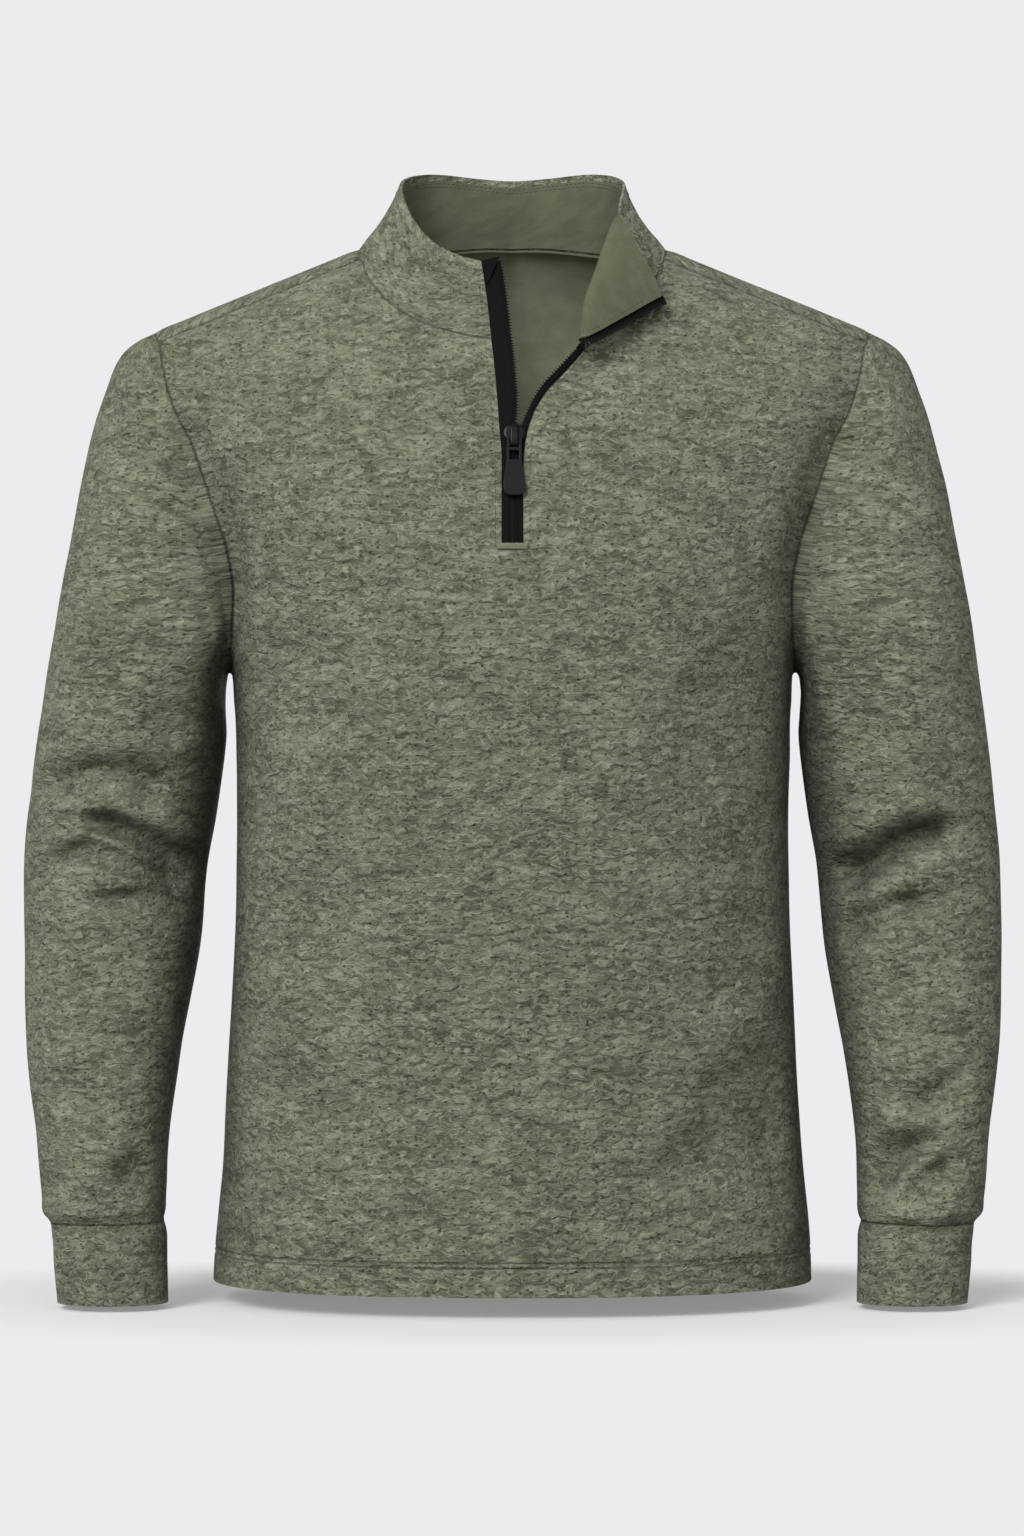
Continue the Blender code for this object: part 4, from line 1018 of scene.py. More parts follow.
# ---- finishes
class Nodes:
    """Short ways to make the nodes of one material."""

    def __init__(self, name: str) -> None:
        """Makes an empty material with a shader and an output."""
        self.material = bpy.data.materials.new(name)
        self.material.use_nodes = True
        self.tree = self.material.node_tree
        self.shader = self.tree.nodes["Principled BSDF"]

    def put(self, value: object, socket: Socket) -> None:
        """Gives an input another socket's value, a colour or a number."""
        if isinstance(value, Socket):
            self.tree.links.new(value, socket)
        else:
            socket.default_value = (*value, 1.0) if socket.type == "RGBA" else value

    def add(self, kind: str, inputs: dict | None = None, **settings: object) -> bpy.types.Node:
        """A node of a kind, with values for its inputs and settings for its attributes."""
        node = self.tree.nodes.new("ShaderNode" + kind)
        for name, value in settings.items():
            setattr(node, name, value)
        for key, value in (inputs or {}).items():
            self.put(value, node.inputs[key])
        return node

    def maths(self, operation: str, *values: Socket | float) -> Socket:
        """A Math node's output."""
        return self.add("Math", dict(enumerate(values)), operation=operation).outputs[0]

    def times(self, first: Socket, second: Socket | float) -> Socket:
        """The product of two values."""
        return self.maths("MULTIPLY", first, second)

    def total(self, first: tuple[Socket, float], *others: tuple[Socket, float]) -> Socket:
        """The sum of values times their weights."""
        value = self.times(*first)
        for pair in others:
            value = self.maths("MULTIPLY_ADD", *pair, value)
        return value

    def fold(self, value: Socket, pitch: float) -> Socket:
        """A value that goes up to a half and back to 0 in each pitch."""
        return self.maths("PINGPONG", self.maths("DIVIDE", value, pitch), 0.5)

    def away(self, value: Socket, level: float) -> Socket:
        """How far a value is from a level."""
        return self.maths("ABSOLUTE", self.maths("SUBTRACT", value, level))

    def between(self, value: Socket, low: float, high: float, start: float = 0, stop: float = 1) -> Socket:
        """Maps a value smoothly from low..high to start..stop."""
        ends = {"Value": value, "From Min": low, "From Max": high, "To Min": start, "To Max": stop}
        return self.add("MapRange", ends, interpolation_type="SMOOTHSTEP").outputs[0]

    def grain(self) -> Socket:
        """The cloth's grain, in metres across and along."""
        return self.add("UVMap", uv_map="grain").outputs[0]

    def place(self) -> Socket:
        """The point's place on the object."""
        return self.add("TexCoord").outputs["Object"]

    def kept(self, name: str) -> Socket:
        """A value that the cloth's points keep."""
        return self.add("Attribute", attribute_name=name).outputs["Fac"]

    def split(self, vector: Socket) -> Outputs:
        """The three numbers of a vector."""
        return self.add("SeparateXYZ", {0: vector}).outputs

    def scaled(self, vector: Socket, x: float, y: float, z: float = 1.0) -> Socket:
        """A vector times three numbers."""
        return self.add("VectorMath", {0: vector, 1: (x, y, z)}, operation="MULTIPLY").outputs[0]

    def length(self, vector: Socket) -> Socket:
        """How long a vector is."""
        return self.add("VectorMath", {0: vector}, operation="LENGTH").outputs["Value"]

    def noise(self, vector: Socket, scale: float, *shape: float, flat: bool = True) -> Socket:
        """A noise texture's value; shape is its detail, roughness and twist."""
        inputs = {"Vector": vector, "Scale": scale}
        inputs.update(zip(("Detail", "Roughness", "Distortion"), shape))
        return self.add("TexNoise", inputs, noise_dimensions="2D" if flat else "3D").outputs[0]

    def specks(self, grain: Socket, across: float, along: float, *shape: float) -> Socket:
        """Noise over the grain, with so many specks in a metre each way."""
        return self.noise(self.scaled(grain, across, along), 1.0, *shape)

    def mix(self, share: Socket | float, first: Socket | Colour, second: Socket | Colour) -> Socket:
        """Mixes two colours."""
        return self.add("Mix", {0: share, 6: first, 7: second}, data_type="RGBA").outputs[2]

    def darker(self, colour: Socket, share: Socket) -> Socket:
        """A colour times a share."""
        return self.add("VectorMath", {0: colour, "Scale": share}, operation="SCALE").outputs[0]

    def blend(self, share: Socket, first: Socket, second: Socket) -> Socket:
        """Mixes two shaders."""
        return self.add("MixShader", {0: share, 1: first, 2: second}).outputs[0]

    def bump(self, height: Socket, distance: float) -> None:
        """Gives the shader a bump from a height."""
        self.set(Normal=self.add("Bump", {"Distance": distance, "Height": height}).outputs[0])

    def set(self, **values: object) -> None:
        """Sets the shader's inputs, named with spaces as underscores."""
        for name, value in values.items():
            self.put(value, self.shader.inputs[name.replace("_", " ")])


@dataclass(frozen=True)
class HeatherKnit:
    """Sage melange knit: slubs, scribbled fibres and flecks over small V stitches, with painted shade in
    hollows and along seams.

    Attributes:
        lines: Heights of stitched lines in the grain.
        depth: How dark the painted shade in the deepest hollows is.
        wale: Width of a stitch; course is its height.
        curls: Curls in a metre across and along, and curl_reach how far they shift the grain.
        patches: Specks in a metre across and along, detail, roughness and twist, as in those below.
        rounds: Mounds in a metre across and along; hair_cells and fleck_cells are the same for those.
        relief: Height of the bump, and heights how much each pattern gives to it.
        tones: Shares of streaks, slubs, mounds and yarns in the tone, and patch_tone that of patches.
        mound_ends: Where a pattern starts and stops, and its values there, as in the other ends.
        hair_share: How strongly hairs show; rib_share and fleck_share are the same for those.
        gap_shade: How much lighter a stitch is than the gap, and the gap's own shade.
    """

    name: str = "heather_knit"
    lines: Numbers = ()
    dark: Colour = (0.100, 0.107, 0.067)
    middle: Colour = (0.180, 0.189, 0.127)
    light: Colour = (0.272, 0.283, 0.200)
    pale: Colour = (0.430, 0.445, 0.335)
    fleck: Colour = (0.044, 0.048, 0.027)
    depth: float = 0.57
    wale: float = 0.00125
    course: float = 0.00095
    curls: Numbers = (125, 170)
    curl_reach: Numbers = (0.0115, 0.0070, 0.0)
    patches: Numbers = (24, 46, 2.0, 0.5)
    slubs: Numbers = (86, 215, 2.0, 0.55, 0.3)
    streaks: Numbers = (250, 610, 2.0, 0.60, 0.4)
    yarns: Numbers = (700, 1300, 1.0, 0.55)
    waves: Numbers = (120, 250, 1.0, 0.5)
    masks: Numbers = (160, 250, 0.0, 0.5)
    rounds: Numbers = (84, 160)
    hair_cells: Numbers = (118, 185)
    fleck_cells: Numbers = (165, 215)
    relief: float = 0.0011
    slant: float = 1.5
    leg_gap: Numbers = (0.0, 0.10)
    leg_edge: Numbers = (0.5, 0.42)
    yarn_ends: Numbers = (0.02, 0.40)
    line_ends: Numbers = (0.0002, 0.0010)
    mound_ends: Numbers = (0.05, 0.80, 1.0, 0.0)
    hair_ends: Numbers = (0.01, 0.105, 1.0, 0.0)
    hair_mask: Numbers = (0.46, 0.58)
    rib_level: float = 0.50
    rib_ends: Numbers = (0.0, 0.040, 1.0, 0.0)
    rib_mask: Numbers = (0.50, 0.40)
    fleck_ends: Numbers = (0.10, 0.20, 1.0, 0.0)
    fleck_mask: Numbers = (0.56, 0.62)
    tones: Numbers = (0.40, 0.42, 0.05, 0.14)
    patch_tone: Numbers = (0.26, -0.13)
    dark_ends: Numbers = (0.36, 0.51)
    light_ends: Numbers = (0.49, 0.64)
    hair_share: float = 0.44
    rib_share: float = 0.30
    fleck_share: float = 0.72
    gap_shade: Numbers = (0.30, 0.82)
    line_shade: Numbers = (0.62, 0.38)
    seam_ends: Numbers = (0.0, 0.0014)
    seam_shade: Numbers = (0.46, 0.54)
    painted_shade_hollow_ends: Numbers = (0.02, 0.52)
    heights: Numbers = (1.2, 0.12, 1.15, 0.80, 0.12, 0.30, -0.45, -0.45, 0.8)

    def stitches(self, nodes: Nodes, grain: Socket) -> Socket:
        """Height of the V stitches, 0 in the gaps and 1 on the yarn."""
        across, along, _ = nodes.split(grain)
        leg = nodes.fold(across, self.wale)
        tilted = nodes.maths("MULTIPLY_ADD", leg, self.slant, nodes.maths("DIVIDE", along, self.course))
        yarn = nodes.maths("PINGPONG", tilted, 0.5)
        legs = nodes.times(nodes.between(leg, *self.leg_gap), nodes.between(leg, *self.leg_edge))
        return nodes.times(nodes.between(yarn, *self.yarn_ends), legs)

    def bent(self, nodes: Nodes, grain: Socket) -> Socket:
        """The grain, bent so that fibres curl."""
        scaled = nodes.scaled(grain, *self.curls)
        curl = nodes.add("TexNoise", {"Vector": scaled, "Scale": 1.0, "Detail": 1.0}, noise_dimensions="2D")
        ends = {0: curl.outputs["Color"], 1: self.curl_reach, 2: grain}
        return nodes.add("VectorMath", ends, operation="MULTIPLY_ADD").outputs[0]

    def cells(self, nodes: Nodes, grain: Socket, across: float, along: float, feature: str) -> Outputs:
        """A voronoi texture over the grain, with so many cells in a metre each way."""
        inputs = {"Vector": nodes.scaled(grain, across, along), "Scale": 1.0}
        return nodes.add("TexVoronoi", inputs, feature=feature, voronoi_dimensions="2D").outputs

    def hem(self, nodes: Nodes, grain: Socket) -> Socket | float:
        """0 on the hem's stitched lines, 1 away from them."""
        total: Socket | float = 1.0
        for line in self.lines:
            away = nodes.away(nodes.split(grain)[1], line)
            total = nodes.times(nodes.between(away, *self.line_ends), total)
        return total

    def make(self) -> Material:
        """Makes the material."""
        nodes = Nodes(self.name)
        grain = nodes.grain()
        bent = self.bent(nodes, grain)
        patch = nodes.specks(grain, *self.patches)
        slub = nodes.specks(bent, *self.slubs)
        streak = nodes.specks(bent, *self.streaks)
        yarn = nodes.specks(grain, *self.yarns)
        wave = nodes.specks(bent, *self.waves)
        mask = nodes.specks(grain, *self.masks)
        mound = self.cells(nodes, bent, *self.rounds, "F1")["Distance"]
        mound = nodes.between(mound, *self.mound_ends)
        edge = self.cells(nodes, bent, *self.hair_cells, "DISTANCE_TO_EDGE")["Distance"]
        hairs = nodes.times(nodes.between(edge, *self.hair_ends), nodes.between(mask, *self.hair_mask))
        ribs = nodes.between(nodes.away(wave, self.rib_level), *self.rib_ends)
        ribs = nodes.times(ribs, nodes.between(mask, *self.rib_mask))
        dots = self.cells(nodes, grain, *self.fleck_cells, "F1")
        chosen = nodes.between(nodes.split(dots["Color"])[0], *self.fleck_mask)
        flecks = nodes.times(nodes.between(dots["Distance"], *self.fleck_ends), chosen)
        stitch = self.stitches(nodes, grain)

        tone = nodes.total(*zip((streak, slub, mound, yarn), self.tones))
        tone = nodes.maths("ADD", tone, nodes.maths("MULTIPLY_ADD", patch, *self.patch_tone))
        colour = nodes.mix(nodes.between(tone, *self.dark_ends), self.dark, self.middle)
        colour = nodes.mix(nodes.between(tone, *self.light_ends), colour, self.light)
        colour = nodes.mix(nodes.times(hairs, self.hair_share), colour, self.pale)
        colour = nodes.mix(nodes.times(ribs, self.rib_share), colour, self.fleck)
        colour = nodes.mix(nodes.times(flecks, self.fleck_share), colour, self.fleck)
        gap = nodes.maths("MULTIPLY_ADD", stitch, *self.gap_shade)
        # Painted shade along the seams and the hem's stitched lines: the colour darkens there, on top of
        # their real bump and dip.
        hem = nodes.maths("MULTIPLY_ADD", self.hem(nodes, grain), *self.line_shade)
        crease = nodes.times(nodes.between(nodes.kept("seam"), *self.seam_ends), hem)
        shade = nodes.times(gap, nodes.maths("MULTIPLY_ADD", crease, *self.seam_shade))
        # Painted shade in hollows: the colour darkens where the shadow rays met cloth nearby.
        near = nodes.between(nodes.kept("shade"), *self.painted_shade_hollow_ends, 1.0, 1.0 - self.depth)
        nodes.set(Base_Color=nodes.darker(colour, nodes.times(shade, near)))

        patterns = (slub, stitch, mound, streak, yarn, hairs, ribs, flecks, crease)
        nodes.bump(nodes.total(*zip(patterns, self.heights)), self.relief)
        nodes.set(Roughness=0.95, Specular_IOR_Level=0.15, Sheen_Weight=0.05, Sheen_Roughness=0.5)
        return nodes.material


@dataclass(frozen=True)
class PlainKnit:
    """Smooth sage knit of the inside, the facing and the welt; its colour darkens in hollows as painted
    shade.
    """

    name: str = "plain_knit"
    shade: Colour = (0.094, 0.102, 0.061)
    light: Colour = (0.119, 0.128, 0.080)
    pitch: float = 0.0007
    row_scale: float = 0.32
    relief: float = 0.00022
    clouds: Numbers = (55, 70, 3.0, 0.6)
    fibres: Numbers = (900, 900, 2.0, 0.6)
    tones: Numbers = (0.65, 0.35)
    tone_ends: Numbers = (0.35, 0.65)
    painted_shade_hollow_ends: Numbers = (0.05, 0.75, 1.0, 0.45)
    row_relief: float = 0.16
    cloud_relief: float = 1.5

    def make(self) -> Material:
        """Makes the material."""
        nodes = Nodes(self.name)
        grain = nodes.grain()
        cloud = nodes.specks(grain, *self.clouds)
        fuzz = nodes.specks(grain, *self.fibres)
        tone = nodes.total(*zip((cloud, fuzz), self.tones))
        colour = nodes.mix(nodes.between(tone, *self.tone_ends), self.shade, self.light)
        # Painted shade: darker where the shadow rays met cloth nearby, which only the facing's inner side
        # carries.
        near = nodes.between(nodes.kept("shade"), *self.painted_shade_hollow_ends)
        scaled = nodes.scaled(grain, 0.5 / self.pitch, 0.5 / self.pitch)
        inputs = {"Vector": scaled, "Scale": self.row_scale}
        rows = nodes.add("TexWave", inputs, bands_direction="X").outputs[1]
        relief = nodes.maths("MULTIPLY_ADD", rows, self.row_relief, fuzz)
        nodes.bump(nodes.maths("MULTIPLY_ADD", cloud, self.cloud_relief, relief), self.relief)
        nodes.set(Base_Color=nodes.darker(colour, near), Roughness=0.9)
        nodes.set(Specular_IOR_Level=0.15, Sheen_Weight=0.05, Sheen_Roughness=0.5)
        return nodes.material


@dataclass(frozen=True)
class TapeWeave:
    """Matt black woven tape."""

    name: str = "tape_weave"
    shade: Colour = (0.0025, 0.0025, 0.003)
    light: Colour = (0.0085, 0.0085, 0.0092)
    warp: float = 0.0006
    weft: float = 0.0005
    tick: float = 0.00105
    tick_share: float = 1.2
    fibres: Numbers = (1500, 1500, 2.0, 0.6)
    relief: float = 0.00014

    def make(self) -> Material:
        """Makes the material."""
        nodes = Nodes(self.name)
        grain = nodes.grain()
        across, along, _ = nodes.split(grain)
        weave = nodes.maths("ADD", nodes.fold(across, self.warp), nodes.fold(along, self.weft))
        cloth = nodes.maths("MULTIPLY_ADD", nodes.fold(along, self.tick), self.tick_share, weave)
        fuzz = nodes.specks(grain, *self.fibres)
        nodes.set(Base_Color=nodes.mix(nodes.times(cloth, fuzz), self.shade, self.light))
        nodes.bump(nodes.maths("ADD", cloth, fuzz), self.relief)
        nodes.set(Roughness=0.85, Specular_IOR_Level=0.12)
        return nodes.material


@dataclass(frozen=True)
class BlackEnamel:
    """Black enamel on small metal pieces, worn slightly in random patches."""

    name: str = "black_enamel"
    roughness: float = 0.30
    colour: Colour = (0.004, 0.004, 0.0043)
    worn: Colour = (0.010, 0.010, 0.011)
    relief: float = 0.00003
    grain: Numbers = (2600.0, 3.0, 0.6)
    clouds: Numbers = (320.0, 2.0, 0.5)
    worn_ends: Numbers = (0.52, 0.75, 0.0, 0.55)
    rougher: float = 0.22
    smoother: float = 0.10

    def make(self) -> Material:
        """Makes the material."""
        nodes = Nodes(self.name)
        place = nodes.place()
        grit = nodes.noise(place, *self.grain, flat=False)
        cloud = nodes.noise(place, *self.clouds, flat=False)
        rub = nodes.between(cloud, *self.worn_ends)
        rough = nodes.maths("MULTIPLY_ADD", grit, self.rougher, self.roughness - self.smoother)
        nodes.set(Base_Color=nodes.mix(rub, self.colour, self.worn), Roughness=rough)
        nodes.bump(grit, self.relief)
        nodes.set(Metallic=0.0, Specular_IOR_Level=0.17)
        return nodes.material


@dataclass(frozen=True)
class SewingThread:
    """Twisted thread of the visible stitches."""

    name: str = "sage_thread"
    colour: Colour = (0.130, 0.148, 0.092)
    dark: float = 0.55
    relief: float = 0.00006
    twist: Numbers = (3800.0, 2.0, 0.6, 0.8)
    twist_ends: Numbers = (0.35, 0.65)

    def make(self) -> Material:
        """Makes the material."""
        nodes = Nodes(self.name)
        ply = nodes.noise(nodes.place(), *self.twist, flat=False)
        dark = tuple(c * self.dark for c in self.colour)
        nodes.set(Base_Color=nodes.mix(nodes.between(ply, *self.twist_ends), dark, self.colour))
        nodes.bump(ply, self.relief)
        nodes.set(Roughness=0.7, Specular_IOR_Level=0.3)
        return nodes.material


class Wardrobe:
    """Every finish, made once."""

    def __init__(self) -> None:
        """Makes the finishes."""
        self.knit = HeatherKnit().make()
        self.body = HeatherKnit("heather_knit_hemmed", HEM_STITCHES).make()
        self.plain = PlainKnit().make()
        # The inside's knit is a lighter copy of the plain knit: painted light inside the garment, where the
        # lamps reach little.
        self.lining = PlainKnit("inner_knit_painted_light", (0.200, 0.215, 0.140), (0.245, 0.262, 0.175)).make()
        self.welt = PlainKnit("welt_knit", (0.140, 0.150, 0.097), (0.178, 0.190, 0.125)).make()
        self.tape = TapeWeave().make()
        self.enamel = BlackEnamel().make()
        self.teeth = BlackEnamel("tooth_black", 0.42).make()
        self.thread = SewingThread().make()


# ---- pieces
def linked(name: str, data: bpy.types.ID) -> Piece:
    """A new object in the scene."""
    made = bpy.data.objects.new(name, data)
    bpy.context.collection.objects.link(made)
    return made


def mesh_piece(
    name: str,
    points: Array,
    faces: Sequence[Sequence[int]] | NDArray,
    materials: Sequence[Material],
    grain: Array | None = None,
    slots: NDArray | None = None,
    sharp: float = 42.0,
) -> Piece:
    """Makes a smooth mesh piece.

    Args:
        name: The piece's name.
        points: Its points.
        faces: Its faces, as lists of point numbers.
        materials: Its finishes, in slot order.
        grain: Cloth grain of every face corner.
        slots: Which finish each face has.
        sharp: Angle in degrees past which an edge stays sharp.

    Returns:
        The new object, linked to the scene.
    """
    mesh = bpy.data.meshes.new(name)
    mesh.from_pydata(points.tolist(), [], faces.tolist() if isinstance(faces, np.ndarray) else faces)
    mesh.polygons.foreach_set("use_smooth", [True] * len(mesh.polygons))
    mesh.set_sharp_from_angle(angle=math.radians(sharp))
    for material in materials:
        mesh.materials.append(material)
    if slots is not None:
        mesh.polygons.foreach_set("material_index", slots)
    if grain is not None:
        mesh.uv_layers.new(name="grain").data.foreach_set("uv", grain.astype(np.float32).ravel())
    mesh.update()
    return linked(name, mesh)


def face_outward(piece: Piece) -> None:
    """Turns every face of a piece outward."""
    work = bmesh.new()
    work.from_mesh(piece.data)
    bmesh.ops.recalc_face_normals(work, faces=work.faces)
    work.to_mesh(piece.data)
    work.free()


def declare(
    piece: Piece, slot: str, replaces: bool = True, body: Body = Body.GARMENT, note: str = ""
) -> None:
    """Rides a piece on its body, hides the node that it replaces and logs its size.

    Args:
        piece: The piece.
        slot: The node that the piece stands for.
        replaces: Whether the piece stands for that node.
        body: The body that it rides on.
        note: What else the log says.
    """
    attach(piece, body.value)
    if replaces:
        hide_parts(slot)
    LOG.info("%s: %d faces %s", piece.name, len(piece.data.polygons), note)


@dataclass(frozen=True)
class Cut:
    """The flat cut of one cloth piece: its width, length and area in square metres."""

    width: float
    length: float
    area: float

    def declare(self, piece: Piece, held: str, rests_on: str) -> None:
        """Does nothing with a piece of this cut."""


SLEEVE_CUT = Cut(0.420, 0.610, 0.190)
CUFF_CUT = Cut(0.214, 0.0535, 0.01145)
COLLAR_CUT = Cut(0.470, 0.065, 0.0270)
CUTS = {
    "front": Cut(0.560, 0.690, 0.340),
    "back": Cut(0.560, 0.715, 0.360),
    "sleeve_left": SLEEVE_CUT,
    "sleeve_right": SLEEVE_CUT,
    "cuff_left": CUFF_CUT,
    "cuff_right": CUFF_CUT,
    "collar": COLLAR_CUT,
    "collar_facing": COLLAR_CUT,
    "zip_tape_left": Cut(0.0130, 0.190, 0.00200),
    "zip_tape_right": Cut(0.0125, 0.200, 0.00112),
}


class Torso:
    """Front and back panels of the body, with the slit for the zip."""

    curve_steps = 300
    hem_rounds = 6
    hem_step = 0.003
    first_drop = 2.4
    lift_reach = 0.050
    back_slit_z = -0.205

    def __init__(self, skin: Skin) -> None:
        """Builds both panels on the skin."""
        self.closed, self.opened = self.front_half(False), self.front_half(True)
        self.back = self.back_half()
        rows = resampled(np.array(SHOULDER_STRIP), FINE.strip_rows)
        pairs = [self.strip_row(ShoulderRow(*row)) for row in rows]
        self.strip = np.stack([FORM.skin(row[:, 0], row[:, 1]) for row in pairs])
        self.add_panels(skin)

    def skirt_heights(self, top_z: float) -> Array:
        """Heights of the rows from the hem edge over its stitched fold to top_z."""
        hem = CLOTH.hem_z + np.array(HEM_ROWS) * MM
        return np.concatenate([hem, np.linspace(hem[-1] + self.hem_step, top_z, FINE.skirt_rows + 1)])

    def centre_heights(self, slit_z: Array) -> Array:
        """Heights of the rows at the slit or at the centre back."""
        skirt = self.skirt_heights(CLOTH.armpit_z - CLOTH.armpit_sag)
        chest = np.linspace(skirt[-1], slit_z[0], FINE.chest_rows + 1)
        return np.concatenate([skirt, chest[1:], slit_z[1:]])

    def hem_curve(self, start_x: float, count: int, side: int) -> Array:
        """Equal steps round half the hem, from start_x to the side seam."""
        shares = np.linspace(FORM.share(start_x, CLOTH.hem_z), 1.0, self.curve_steps)
        drops = np.full(self.curve_steps, self.first_drop)
        for _ in range(self.hem_rounds):
            drops = FORM.drop(FORM.skin(shares, drops)[:, 0], CLOTH.hem_z, 1)
        run = length_along(FORM.skin(shares, drops))
        at = np.interp(np.linspace(0, run[-1], count), run, shares)
        return np.stack([at, side * np.interp(at, shares, drops)], axis=-1)

    def side_curve(self, top_z: float, side: int) -> Array:
        """Side seam, then equal steps up the armhole, of one panel half."""
        skirt_z = self.skirt_heights(CLOTH.armpit_z)
        seam = FORM.pairs(FORM.half_width(skirt_z), skirt_z, side)
        name = "front_x" if side > 0 else "back_x"
        zs = CLOTH.armpit_z + (top_z - CLOTH.armpit_z) * np.linspace(0, 1, self.curve_steps) ** 2
        xs = smooth(column(ARMHOLE, "z"), column(ARMHOLE, name), zs)
        pairs = FORM.pairs(xs, zs, side)
        run = length_along(FORM.skin(pairs[:, 0], pairs[:, 1]))
        steps = np.linspace(0, run[-1], FINE.chest_rows + FINE.slit_rows + 1)[1:]
        return np.concatenate([seam, read_along(run, pairs, steps)])

    def strip_row(self, row: ShoulderRow) -> Array:
        """Pairs across one shoulder, from neck to armhole, at one drop."""
        shares = np.linspace(0.0, 1.0, FINE.shoulder_columns + 1)
        xs = row.neck_x + (row.arm_x - row.neck_x) * shares
        zs = FORM.ridge(xs) - FORM.shoulder_round * row.drop**2
        return np.stack([FORM.share(xs, zs), np.full(len(xs), row.drop)], axis=-1)

    def panel(
        self, start: Array, edge: Array, neck: Sequence[NeckPoint], steps: int, hem_x: float, side: int
    ) -> Array:
        """Fills one half panel between its centre line, neck, shoulder, side and hem.

        Args:
            start: Pairs up the centre line.
            edge: Pairs along the shoulder edge, from the neck out.
            neck: Points of the neck seam, from the centre out.
            steps: Columns along the neck seam.
            hem_x: Where the hem starts.
            side: 1 in front, -1 behind.

        Returns:
            Surface points [row, column, 3].
        """
        corner = FORM.skin(edge[0, 0], edge[0, 1])
        path = evenly_along([(p.x, p.z) for p in neck] + [(corner[0], corner[2])], steps + 1)
        pairs = FORM.pairs(path[:, 0], path[:, 1], side)
        pairs[-1] = edge[0]
        top = np.concatenate([pairs, edge[1:]])
        arm_top = FORM.skin(edge[-1, 0], edge[-1, 1])
        end = self.side_curve(float(arm_top[2]), side)
        end[-1] = edge[-1]
        bottom = self.hem_curve(hem_x, len(top), side)
        start[0], end[0] = bottom[0], bottom[-1]
        start[-1] = top[0]
        grid = coons(bottom, top, start, end)
        return FORM.skin(grid[..., 0], grid[..., 1])

    def front_half(self, opened: bool) -> Array:
        """Grid of one front half, from hem to shoulder and from slit to side."""
        slit_z = resampled(column(SLIT, "opened_z" if opened else "z"), FINE.slit_rows)
        slit_x = resampled(column(SLIT, "opened_x" if opened else "closed_x"), FINE.slit_rows)
        centre_z = self.centre_heights(slit_z)
        below = len(centre_z) - len(slit_z)
        centre_x = np.concatenate([np.full(below, SLIT[0].closed_x), slit_x])
        start = FORM.pairs(centre_x, centre_z, 1)
        edge = self.strip_row(SHOULDER_STRIP[-1])
        neck = FRONT_NECK_OPENED if opened else FRONT_NECK_CLOSED
        points = self.panel(start, edge, neck, FINE.neck_columns, SLIT[0].closed_x, 1)
        if opened:
            lifts = np.concatenate([np.zeros(below), resampled(column(SLIT, "lift"), FINE.slit_rows)])
            away = np.linalg.norm(points[:, :, ::2] - points[:, :1, ::2], axis=-1)
            points[..., 1] -= lifts[:, None] * ease(1 - away / self.lift_reach)
        return points

    def back_half(self) -> Array:
        """Grid of one back half, up to the line behind the shoulder ridge."""
        slit_z = np.linspace(self.back_slit_z, BACK_NECK[0].z, FINE.slit_rows + 1)
        centre_z = self.centre_heights(slit_z)
        start = FORM.pairs(np.zeros(len(centre_z)), centre_z, -1)
        edge = self.strip_row(SHOULDER_STRIP[0])
        return self.panel(start, edge, BACK_NECK, FINE.back_neck_columns, 0.0, -1)

    def add_panels(self, skin: Skin) -> None:
        """Adds both panels and keeps the numbers of the lines that others follow."""
        front = BodyGrain(1)
        right_grain = front.at(self.opened)
        self.left = skin.grid("front", mirrored(self.closed), front.at(self.closed) * [-1, 1], flip=True)
        self.right = skin.grid("front", self.opened, right_grain)
        self.foot = self.left.shape[0] - (FINE.slit_rows + 1)
        steps = np.linspace(-1, 1, 5)
        low = self.opened[: self.foot + 1, 0]
        middle = FORM.at(np.abs(steps)[None] * low[:, :1], np.repeat(low[:, 2:], len(steps), axis=1))
        middle[..., 0] *= np.sign(steps)
        middle[:, 0], middle[:, -1] = mirrored(low), low
        across, along = steps * SLIT[0].closed_x, right_grain[: self.foot + 1, :1, 1]
        skin.grid("front", middle, np.stack(np.broadcast_arrays(across, along), axis=-1))
        self.back_numbers = {}
        back_grain = BodyGrain(-1).at(self.back)
        top = back_grain[-1, FINE.back_neck_columns :]
        across, along = top[:, 0], top[:, 1] + grain_of(self.strip)[..., 1]
        strip_grain = np.stack(np.broadcast_arrays(across, along), axis=-1)
        for side in Side:
            turn = mirrored if side is Side.LEFT else np.array
            sign = np.array([side.value, 1])
            flip = side is Side.RIGHT
            self.back_numbers[side] = skin.grid("back", turn(self.back), back_grain * sign, flip)
            skin.grid("back", turn(self.strip), strip_grain * sign, flip)

    def armhole(self) -> Array:
        """Points round the right armhole, starting at the armpit, front first."""
        armpit = len(HEM_ROWS) + FINE.skirt_rows
        front = self.opened[armpit:, -1]
        back = self.back[armpit:, -1]
        return np.concatenate([front, self.strip[-2:0:-1, -1], back[::-1][:-1]])

    def neck(self, opened: bool) -> Array:
        """Points along half the neck seam, from the zip to the centre back."""
        half = self.opened if opened else self.closed
        front = half[-1, : FINE.neck_columns + 1]
        back = self.back[-1, : FINE.back_neck_columns + 1]
        return np.concatenate([front, self.strip[-2:0:-1, 0], back[::-1]])


